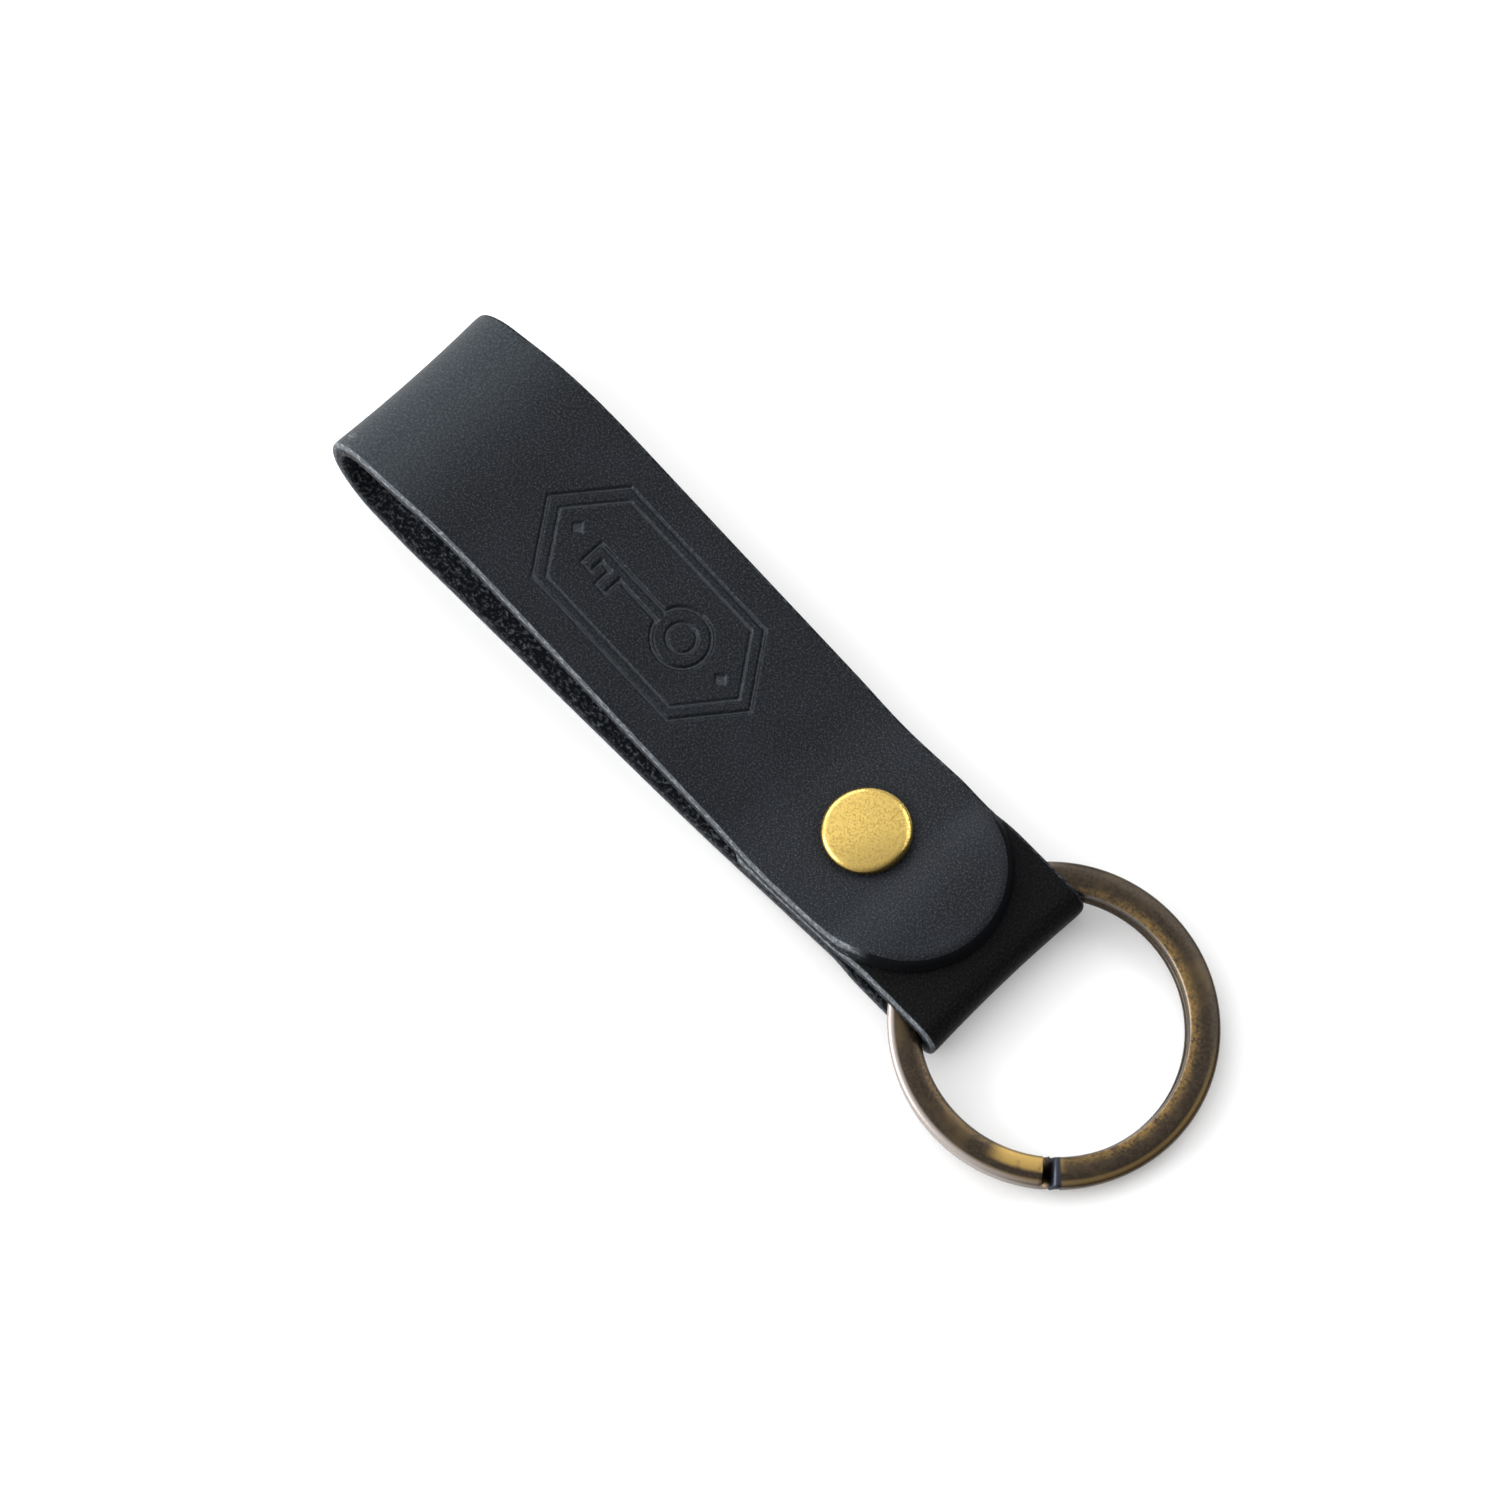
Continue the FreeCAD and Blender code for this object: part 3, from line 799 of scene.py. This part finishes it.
class Recipe:
    """A material's nodes. An input may be a plain value or another node's output."""

    def __init__(self, name):
        self.material = bpy.data.materials.new(name)
        self.material.use_nodes = True
        self.tree = self.material.node_tree

    def add(self, kind, inputs, output=0, **settings):
        """Add a node, fill its inputs and return one of its outputs."""
        item = self.tree.nodes.new(kind)
        for key, value in settings.items():
            setattr(item, key, value)
        self.fill(item, inputs)
        return item.outputs[output]

    def fill(self, item, inputs):
        for key, value in inputs.items():
            if isinstance(value, bpy.types.NodeSocket):
                self.tree.links.new(value, item.inputs[key])
            else:
                item.inputs[key].default_value = value

    def with_surface(self, inputs):
        """Fill the surface's inputs and return the material."""
        self.fill(self.tree.nodes["Principled BSDF"], inputs)
        return self.material

    def place(self):
        """The piece's own coordinates in millimetres."""
        return self.add("ShaderNodeAttribute", {}, "Vector", attribute_name="local_mm")

    def cad_place(self):
        """Object coordinates in millimetres, for a CAD mesh."""
        place = self.add("ShaderNodeTexCoord", {}, "Object")
        return self.stretched(place, (1 / MM, 1 / MM, 1 / MM))

    def number(self, name):
        """A number that the piece's vertices carry."""
        return self.add("ShaderNodeAttribute", {}, "Fac", attribute_name=name)

    def stretched(self, place, scale):
        return self.add("ShaderNodeVectorMath", {0: place, 1: scale}, operation="MULTIPLY")

    def parts(self, place):
        """The three coordinates, one by one."""
        item = self.tree.nodes.new("ShaderNodeSeparateXYZ")
        self.fill(item, {0: place})
        return item.outputs

    def length(self, vector):
        return self.add("ShaderNodeVectorMath", {0: vector}, "Value", operation="LENGTH")

    def unit(self, vector):
        return self.add("ShaderNodeVectorMath", {0: vector}, operation="NORMALIZE")

    def along_angle(self, vector, degrees):
        """The vector's part along a level direction at an angle from its X axis."""
        direction = (math.cos(math.radians(degrees)), math.sin(math.radians(degrees)), 0)
        inputs = {0: vector, 1: direction}
        return self.add("ShaderNodeVectorMath", inputs, "Value", operation="DOT_PRODUCT")

    def noise(self, place, size, detail=2.0, roughness=0.5):
        """Noise from 0 to 1 with features about size millimetres wide."""
        inputs = {"Vector": place, "Scale": 1 / size, "Detail": detail, "Roughness": roughness}
        return self.add("ShaderNodeTexNoise", inputs, "Fac")

    def cells(self, place, size):
        """Distance from the middles of cells about size millimetres wide."""
        return self.add("ShaderNodeTexVoronoi", {"Vector": place, "Scale": 1 / size}, "Distance")

    def between(self, value, low, high):
        """0 where the value is at low, 1 at high, smooth in between."""
        inputs = {"Value": value, "From Min": low, "From Max": high}
        return self.add("ShaderNodeMapRange", inputs, interpolation_type="SMOOTHSTEP")

    def within(self, value, start, full, last_full, end):
        """1 from full to last_full, falling smoothly to 0 at start and end."""
        return self.times(self.between(value, start, full), self.between(value, end, last_full))

    def lerp(self, share, a, b):
        """Number a where share is 0 and b where it is 1."""
        return self.add("ShaderNodeMapRange", {"Value": share, "To Min": a, "To Max": b})

    def plus(self, a, b):
        return self.add("ShaderNodeMath", {0: a, 1: b}, operation="ADD")

    def minus(self, a, b):
        return self.add("ShaderNodeMath", {0: a, 1: b}, operation="SUBTRACT")

    def times(self, product, *factors):
        for factor in factors:
            product = self.add("ShaderNodeMath", {0: product, 1: factor}, operation="MULTIPLY")
        return product

    def mix(self, share, a, b):
        """Colour a where share is 0 and b where it is 1."""
        return self.add("ShaderNodeMix", {0: share, 6: a, 7: b}, 2, data_type="RGBA")

    def painted(self, colour, paint, *shares):
        """The colour, with paint over it as far as the product of the shares says."""
        return self.mix(self.times(*shares), colour, paint)

    def bump(self, height, depth, under=None):
        """A normal for heights from 0 to 1, depth millimetres apart."""
        inputs = {"Height": height, "Distance": depth * MM, "Strength": 1.0}
        if under is not None:
            inputs["Normal"] = under
        return self.add("ShaderNodeBump", inputs)


def grey_blue(value, warmth=0.0):
    """A dark leather colour: bluish at warmth 0, neutral to brownish above."""
    return (value * (0.84 + warmth), value * (0.97 + warmth / 3), value * (1.34 - warmth), 1.0)


# ---- leather ----

CHARCOAL = grey_blue(0.0032)
CHARCOAL_CLOUDS = grey_blue(0.0062)
# painted shade for the bight beside the tongue's tip
BIGHT_PAINTED_SHADE = (0.0038, 0.0035, 0.0032, 1)
CHARCOAL_STAMPED = grey_blue(0.006)
PALE_SPECKS = (0.048, 0.05, 0.058, 1)
# painted sheen for the far fold, which faces the lights
FOLD_PAINTED_SHEEN = (0.023, 0.031, 0.037, 1)
FOLD_SHEEN_DOTS = (0.07, 0.082, 0.09, 1)
CORNER_SCUFFS = (0.12, 0.13, 0.14, 1)
SIDE_WEAR = (0.09, 0.1, 0.11, 1)
GRAIN_TINT = (0.84, 0.92, 1.0, 1)

EDGE_DARK = grey_blue(0.006)
EDGE_FLECKS = (0.07, 0.078, 0.086, 1)
# painted shade for the tongue's end wall
TONGUE_END_PAINTED_SHADE = grey_blue(0.004, 0.08)
# the pale rim's colours: partly worn edge, partly painted highlight
RIM_WORN_AND_HIGHLIGHT = (0.085, 0.094, 0.104, 1)
RIM_FLECKS_AND_HIGHLIGHT = (0.25, 0.27, 0.29, 1)

SUEDE_BLACK = grey_blue(0.005)
SUEDE_FIBRES = (0.085, 0.095, 0.105, 1)


def charcoal_colour(recipe, place, bight_shade):
    """Cloudy charcoal with pale specks, and painted shade on the bight beside the tongue's tip: blacker
    and plainer there.
    """
    clouds = recipe.between(recipe.noise(place, 9.0, 4.0), 0.35, 0.68)
    colour = recipe.mix(clouds, CHARCOAL, CHARCOAL_CLOUDS)
    colour = recipe.painted(colour, BIGHT_PAINTED_SHADE, bight_shade)
    specks = recipe.between(recipe.noise(place, 0.2, 3.0, 0.7), 0.45, 0.72)
    return recipe.painted(colour, PALE_SPECKS, specks, recipe.lerp(bight_shade, 0.8, 0.25))


def add_fold_sheen_and_scuffs(recipe, place, colour):
    """Painted sheen on the far fold, which faces the lights: paler and dotted. Scuffs on its near
    corner.
    """
    along, across, _ = recipe.parts(place)
    past_fold = recipe.minus(along, FAR_FOLD_ALONG)
    at_fold = recipe.within(past_fold, -18.65, -4.65, 3.35, 11.35)
    # painted sheen: the far fold is made paler, then dotted
    colour = recipe.painted(colour, FOLD_PAINTED_SHEEN, at_fold, 0.5)
    dots = recipe.between(recipe.noise(place, 0.26, 3.0, 0.65), 0.48, 0.7)
    colour = recipe.painted(colour, FOLD_SHEEN_DOTS, dots, at_fold, 0.6)
    streaks = recipe.noise(recipe.stretched(place, (0.5, 1.6, 1.0)), 0.9, 5.0, 0.7)
    scuffs = recipe.between(streaks, 0.5, 0.62)
    by_near_side = recipe.between(across, -6.0, -9.8)
    at_corner = recipe.within(past_fold, -6.15, -3.65, -0.65, 2.35)
    return recipe.painted(colour, CORNER_SCUFFS, scuffs, at_corner, by_near_side)


def add_side_wear(recipe, place, colour):
    """A patchy pale line along the near side."""
    across = recipe.parts(place)[1]
    by_edge = recipe.between(across, 0.45 - HALF_WIDTH, 0.1 - HALF_WIDTH)
    patches = recipe.between(recipe.noise(place, 1.3, 4.0), 0.3, 0.6)
    return recipe.painted(colour, SIDE_WEAR, by_edge, patches)


def grain_normal(recipe, place):
    """Soft unevenness, then pores, then a fine pebble."""
    normal = recipe.bump(recipe.noise(place, 2.5), 0.05)
    normal = recipe.bump(recipe.cells(place, 0.42), 0.03, normal)
    return recipe.bump(recipe.noise(place, 0.3, 3.0, 0.6), 0.09, normal)


def grain_leather():
    """The finished side: matte charcoal with worn places, painted sheen on the far fold and painted
    shade by the bight, glossier where it is stamped.
    """
    recipe = Recipe("leather_grain")
    place = recipe.place()
    stamped = recipe.between(recipe.number("stamped_mm"), 0.02, 0.14)
    past_bight = recipe.minus(recipe.parts(place)[0], BIGHT_ALONG)
    # painted shade: the bight beside the tongue's tip is made blacker, with fainter specks and less
    # sheen
    bight_shade = recipe.between(past_bight, -14.64, -6.64)
    colour = charcoal_colour(recipe, place, bight_shade)
    colour = add_fold_sheen_and_scuffs(recipe, place, colour)
    colour = add_side_wear(recipe, place, colour)
    colour = recipe.painted(colour, CHARCOAL_STAMPED, stamped, 0.8)
    roughness = recipe.lerp(recipe.noise(place, 0.4, 3.0), 0.42, 0.66)
    # less sheen on the bight, as part of its painted shade
    gloss = recipe.lerp(bight_shade, 0.185, 0.045)
    return recipe.with_surface({
        "Base Color": colour,
        "Roughness": recipe.lerp(stamped, roughness, 0.3),
        "Normal": grain_normal(recipe, place),
        "Specular IOR Level": recipe.lerp(stamped, gloss, 0.62),
        "Specular Tint": GRAIN_TINT,
    })


def cut_edge_leather():
    """The raw cut edge: dark flecked fibres, with a pale rim by the grain side that is partly worn and
    partly painted highlight, kept to the near side, which faces the key light. Painted shade on the
    tongue's end wall.
    """
    recipe = Recipe("leather_cut_edge")
    place = recipe.place()
    along, across, height = recipe.parts(place)
    fibres = recipe.noise(recipe.stretched(place, (0.6, 1.0, 1.3)), 0.3, 4.0, 0.65)
    flecks = recipe.between(fibres, 0.45, 0.7)
    dark = recipe.mix(flecks, EDGE_DARK, EDGE_FLECKS)
    pale = recipe.mix(flecks, RIM_WORN_AND_HIGHLIGHT, RIM_FLECKS_AND_HIGHLIGHT)
    # the pale rim by the grain side: partly the edge's worn colour, partly painted highlight on the
    # near side, which faces the key light
    by_grain = recipe.between(height, HALF_THICK - 0.85, HALF_THICK - 0.2)
    on_lit_near_side = recipe.between(across, 6.0, -6.0)
    colour = recipe.painted(dark, pale, by_grain, on_lit_near_side)
    # painted shade: the cut edge round the tongue's end is darkened and given less sheen
    shaded_tongue_end = recipe.between(along, 9.5, 6.0)
    return recipe.with_surface({
        "Base Color": recipe.painted(colour, TONGUE_END_PAINTED_SHADE, shaded_tongue_end),
        "Roughness": 0.8,
        "Normal": recipe.bump(fibres, 0.08),
        "Specular IOR Level": recipe.lerp(shaded_tongue_end, 0.15, 0.04),
    })


def flesh_leather():
    """The inner side: black suede with pale fibre ends."""
    recipe = Recipe("leather_flesh")
    tufts = recipe.noise(recipe.stretched(recipe.place(), (0.8, 1.1, 1.0)), 0.42, 4.0, 0.65)
    return recipe.with_surface({
        "Base Color": recipe.mix(recipe.between(tufts, 0.48, 0.7), SUEDE_BLACK, SUEDE_FIBRES),
        "Roughness": 0.95,
        "Normal": recipe.bump(tufts, 0.16),
        "Specular IOR Level": 0.1,
    })


# ---- metals ----

BRASS = (0.69, 0.485, 0.122, 1)
BRASS_SPECKS = (0.38, 0.255, 0.052, 1)
BRASS_CLOUDS = (0.57, 0.4, 0.106, 1)
# painted shade for one side of the caps
BRASS_PAINTED_SHADE = (0.31, 0.21, 0.05, 1)

BRONZE = (0.028, 0.0195, 0.012, 1)
BRONZE_GRAIN = (0.053, 0.0365, 0.022, 1)
BRONZE_CLOUDS = (0.075, 0.05, 0.024, 1)
# crown and shoulder gold: partly rubbed, partly painted reflection and highlight
CROWN_GOLD_AND_REFLECTION = (0.22, 0.135, 0.04, 1)
SHOULDER_GOLD_AND_HIGHLIGHT = (0.25, 0.165, 0.06, 1)
INNER_GOLD = (0.2, 0.125, 0.045, 1)
# inner edge: partly worn silver, partly painted highlight
INNER_SILVER_AND_HIGHLIGHT = (0.2, 0.19, 0.18, 1)
# painted highlight for the outer edge on the side facing the key light
OUTER_PAINTED_HIGHLIGHT = (0.42, 0.37, 0.345, 1)
FREE_END_BRASS = (0.4, 0.26, 0.075, 1)
RAMP_STEEL = (0.024, 0.028, 0.04, 1)


def aged_brass(name, on_cad_mesh=False):
    """Satin brass with fine darker specks and painted shade on one side, for the rivet."""
    recipe = Recipe(name)
    place = recipe.cad_place() if on_cad_mesh else recipe.place()
    specks = recipe.between(recipe.noise(place, 0.24, 3.0, 0.7), 0.44, 0.62)
    clouds = recipe.between(recipe.noise(place, 2.2, 3.0), 0.3, 0.7)
    # painted shade: darker towards one side, where the cap's rim reflects the dim part of the studio
    shaded_side = recipe.between(recipe.along_angle(place, -40.0), -0.6, 4.4)
    colour = recipe.mix(specks, BRASS, BRASS_SPECKS)
    colour = recipe.painted(colour, BRASS_CLOUDS, clouds, 0.35)
    return recipe.with_surface({
        "Base Color": recipe.painted(colour, BRASS_PAINTED_SHADE, shaded_side, 0.65),
        "Roughness": recipe.lerp(specks, 0.2, 0.34),
        "Normal": recipe.bump(recipe.noise(place, 0.2), 0.012),
        "Metallic": 1.0, "Coat Weight": 0.6, "Coat Roughness": 0.2,
    })


class WireRecipe(Recipe):
    """A recipe for the ring's wire. Its inset is how far in from the outer edge it is."""

    def __init__(self, name):
        super().__init__(name)
        self.on_wire = self.place()
        level = self.stretched(self.on_wire, (1, 1, 0))
        self.up = self.parts(self.on_wire)[2]
        self.inset = self.minus(RING_RADIUS, self.length(level))
        self.outward = self.unit(level)
        self.grain = self.noise(self.on_wire, 0.3, 4.0, 0.65)
        self.clouds = self.noise(self.on_wire, 4.0, 3.0)

    def towards(self, degrees, low, high):
        """0 where the cosine of the angle to a direction is low, 1 where it is high."""
        return self.between(self.along_angle(self.outward, degrees), low, high)


def dark_bronze(wire):
    """Nearly black bronze, with a fine grain and browner clouds."""
    colour = wire.mix(wire.between(wire.grain, 0.35, 0.7), BRONZE, BRONZE_GRAIN)
    return wire.painted(colour, BRONZE_CLOUDS, wire.between(wire.clouds, 0.5, 0.72))


def add_gold_rub_and_reflections(wire, colour):
    """Gold on the crown's inner third, on the outer shoulder and along the inner edge. On the crown's
    one half it is partly rubbed gold and partly painted reflection; on the shoulder it is partly
    painted highlight.
    """
    blotches = wire.plus(wire.grain, wire.noise(wire.on_wire, 1.1, 4.0, 0.7))
    blotches = wire.between(blotches, 0.75, 1.25)
    on_crown = wire.between(wire.up, 0.85, 1.1)
    inner_third = wire.between(wire.inset, 1.7, 2.7)
    # painted reflection: on this half the crown's inner slope faces the key light
    reflecting_half = wire.towards(40.0, -0.1, 0.75)
    colour = wire.painted(colour, CROWN_GOLD_AND_REFLECTION, inner_third, reflecting_half, on_crown, blotches)
    # the shoulder's gold, on one side: partly rubbed, partly painted highlight
    shoulder = wire.within(wire.inset, 0.1, 0.3, 0.55, 0.85)
    colour = wire.painted(colour, SHOULDER_GOLD_AND_HIGHLIGHT, shoulder, wire.towards(-22.0, 0.4, 0.9), 0.7)
    inner_line = wire.between(wire.inset, 2.2, 2.6)
    return wire.painted(colour, INNER_GOLD, inner_line, on_crown, blotches, 0.4)


def add_free_end_brass(wire, colour):
    """A bare brass patch on the wire's inner half, by the top coil's free end."""
    by_end = wire.towards(FREE_END_ANGLE - 7.0, 0.955, 0.995)
    inner_half = wire.between(wire.inset, 1.2, 1.7)
    on_top = wire.between(wire.up, 0.5, 0.8)
    mottle = wire.between(wire.noise(wire.on_wire, 1.4), 0.22, 0.5)
    return wire.painted(colour, FREE_END_BRASS, by_end, inner_half, on_top, mottle)


def add_edge_wear_and_highlights(wire, colour):
    """A silvery inner edge, partly worn and partly painted highlight, and a painted highlight on the
    outer edge, on the near side by the strap, which faces the key light.
    """
    # the inner edge: partly worn silver, partly painted highlight
    inner_edge = wire.between(wire.inset, 2.8, 3.0)
    colour = wire.painted(colour, INNER_SILVER_AND_HIGHLIGHT, inner_edge, wire.between(wire.up, 0.8, 1.0), 0.6)
    # painted highlight: the outer edge is made pale on the side that faces the key light
    outer_edge = wire.between(wire.inset, 0.75, 0.35)
    patches = wire.between(wire.clouds, 0.1, 0.4)
    facing_key_light = wire.towards(225.0, -0.2, 0.6)
    return wire.painted(colour, OUTER_PAINTED_HIGHLIGHT, outer_edge, patches, facing_key_light, 0.9)


def antique_bronze():
    """Dark bronze, rubbed to gold, brass and silver, with painted reflections and highlights on its
    gold and its edges, and a steely ramp at the split.
    """
    wire = WireRecipe("antique_bronze")
    colour = dark_bronze(wire)
    colour = add_gold_rub_and_reflections(wire, colour)
    colour = add_free_end_brass(wire, colour)
    colour = add_edge_wear_and_highlights(wire, colour)
    on_ramp = wire.towards(SPLIT_ANGLE - 1.0, 0.9988, 0.9996)
    return wire.with_surface({
        "Base Color": wire.painted(colour, RAMP_STEEL, on_ramp),
        "Roughness": wire.lerp(wire.grain, 0.3, 0.46),
        "Normal": wire.bump(wire.grain, 0.012),
        "Metallic": 1.0, "Coat Weight": 0.35, "Coat Roughness": 0.22,
    })


# ---- stage, light and camera ----

FLOOR_HALF = 3000.0
FLOOR_DROP = 0.02

SOFTBOX_DISTANCE = 900
# azimuth, elevation, width, height and power
SOFTBOXES = {
    "key_softbox": (231, 25, 700, 450, 5.6),
    "left_softbox": (165, 27, 700, 500, 2.5),
    "right_softbox": (80, 42, 800, 600, 3.2),
}

CAMERA_AZIMUTH = -44.29
CAMERA_ELEVATION = 71.03
CAMERA_DISTANCE = 502.0
CAMERA_LENS = 123.87
# the camera's target: left and near of the box's middle, and its height
AIM_LEFT, AIM_NEAR, AIM_HEIGHT = 2.905, 1.39, 3.0


def floor_material():
    """A plain pale floor."""
    recipe = Recipe("pale_floor")
    place = recipe.add("ShaderNodeNewGeometry", {}, "Position")
    tone = recipe.add("ShaderNodeTexNoise", {"Vector": place, "Scale": 30.0}, "Fac")
    tone = recipe.lerp(tone, 0.9, 0.91)
    return recipe.with_surface({
        "Base Color": recipe.add("ShaderNodeCombineColor", {0: tone, 1: tone, 2: tone}),
        "Roughness": 0.9,
        "Specular IOR Level": 0.1,
        "Emission Color": (1, 1, 1, 1), "Emission Strength": 0.1,
    })


def make_floor():
    corners = FLOOR_HALF * np.array([(-1, -1, 0), (1, -1, 0), (1, 1, 0), (-1, 1, 0)])
    points = corners - [0, 0, FLOOR_DROP]
    floor = add_mesh("floor", points, [[0, 1, 2, 3]], corners, [floor_material()])


def make_world(toward, dim, bright):
    """A studio that grows from dim to bright towards one direction."""
    world = bpy.data.worlds.new("studio")
    world.use_nodes = True
    nodes, links = world.node_tree.nodes, world.node_tree.links
    direction = nodes.new("ShaderNodeTexCoord")
    facing = nodes.new("ShaderNodeVectorMath")
    facing.operation = "DOT_PRODUCT"
    facing.inputs[1].default_value = Vector(toward).normalized()
    strength = nodes.new("ShaderNodeMapRange")
    for name, value in zip(("From Min", "From Max", "To Min", "To Max"), (-0.35, 0.9, dim, bright)):
        strength.inputs[name].default_value = value
    links.new(direction.outputs["Generated"], facing.inputs[0])
    links.new(facing.outputs["Value"], strength.inputs["Value"])
    links.new(strength.outputs["Result"], nodes["Background"].inputs["Strength"])
    nodes["Background"].inputs["Color"].default_value = (1, 1, 1, 1)
    bpy.context.scene.world = world


def direction_to(azimuth, elevation):
    """Unit vector towards an azimuth from +X and an elevation, in degrees."""
    a, e = math.radians(azimuth), math.radians(elevation)
    return Vector((math.cos(a) * math.cos(e), math.sin(a) * math.cos(e), math.sin(e)))


def put_facing(name, data, place, target):
    """Add a light or camera at a place, turned to look at a target, with Z up."""
    item = bpy.data.objects.new(name, data)
    bpy.context.scene.collection.objects.link(item)
    item.location = place * MM
    item.rotation_mode = "QUATERNION"
    item.rotation_quaternion = (target - place).to_track_quat("-Z", "Y")
    return item


def add_softbox(name, azimuth, elevation, width, height, power):
    """A rectangular soft light that looks at the object."""
    data = bpy.data.lights.new(name, "AREA")
    data.shape = "RECTANGLE"
    data.size, data.size_y = width * MM, height * MM
    data.energy = power
    put_facing(name, data, direction_to(azimuth, elevation) * SOFTBOX_DISTANCE, Vector((0, 0, 0)))


def make_camera():
    """The camera, high above the ring's near side."""
    data = bpy.data.cameras.new("camera")
    data.sensor_width = 36.0
    data.lens = CAMERA_LENS
    data.clip_start, data.clip_end = 0.01, 20.0
    middle = (cad_low + cad_high) / 2 / MM
    target = Vector((middle.x - AIM_LEFT, middle.y - AIM_NEAR, AIM_HEIGHT))
    place = target + direction_to(CAMERA_AZIMUTH, CAMERA_ELEVATION) * CAMERA_DISTANCE
    bpy.context.scene.camera = put_facing("camera", data, place, target)


# ---- the object ----

brass = aged_brass("aged_brass_cap")

strap = make_strap([grain_leather(), cut_edge_leather(), flesh_leather()])
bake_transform(strap)
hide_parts("strap_loop", "strap_bight")

ring = make_ring(antique_bronze())
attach(ring, "ring")
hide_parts("split_ring")

for cap_name, is_top in (("rivet_front_cap", True), ("rivet_back_cap", False)):
    cap = make_cap(cap_name + "_shell", brass, is_top)
    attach(cap, "strap")
    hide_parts(cap_name)

for stem_name in ("rivet_socket", "rivet_post"):
    stem = frame["nodes"][stem_name]
    stem.material_slots[0].material = aged_brass("aged_brass_" + stem_name, on_cad_mesh=True)

make_floor()
make_world(toward=(-0.8, -0.45, 0.4), dim=0.08, bright=1.7)
for softbox_name, sizes in SOFTBOXES.items():
    add_softbox(softbox_name, *sizes)
make_camera()
bpy.context.scene.view_settings.view_transform = "Standard"
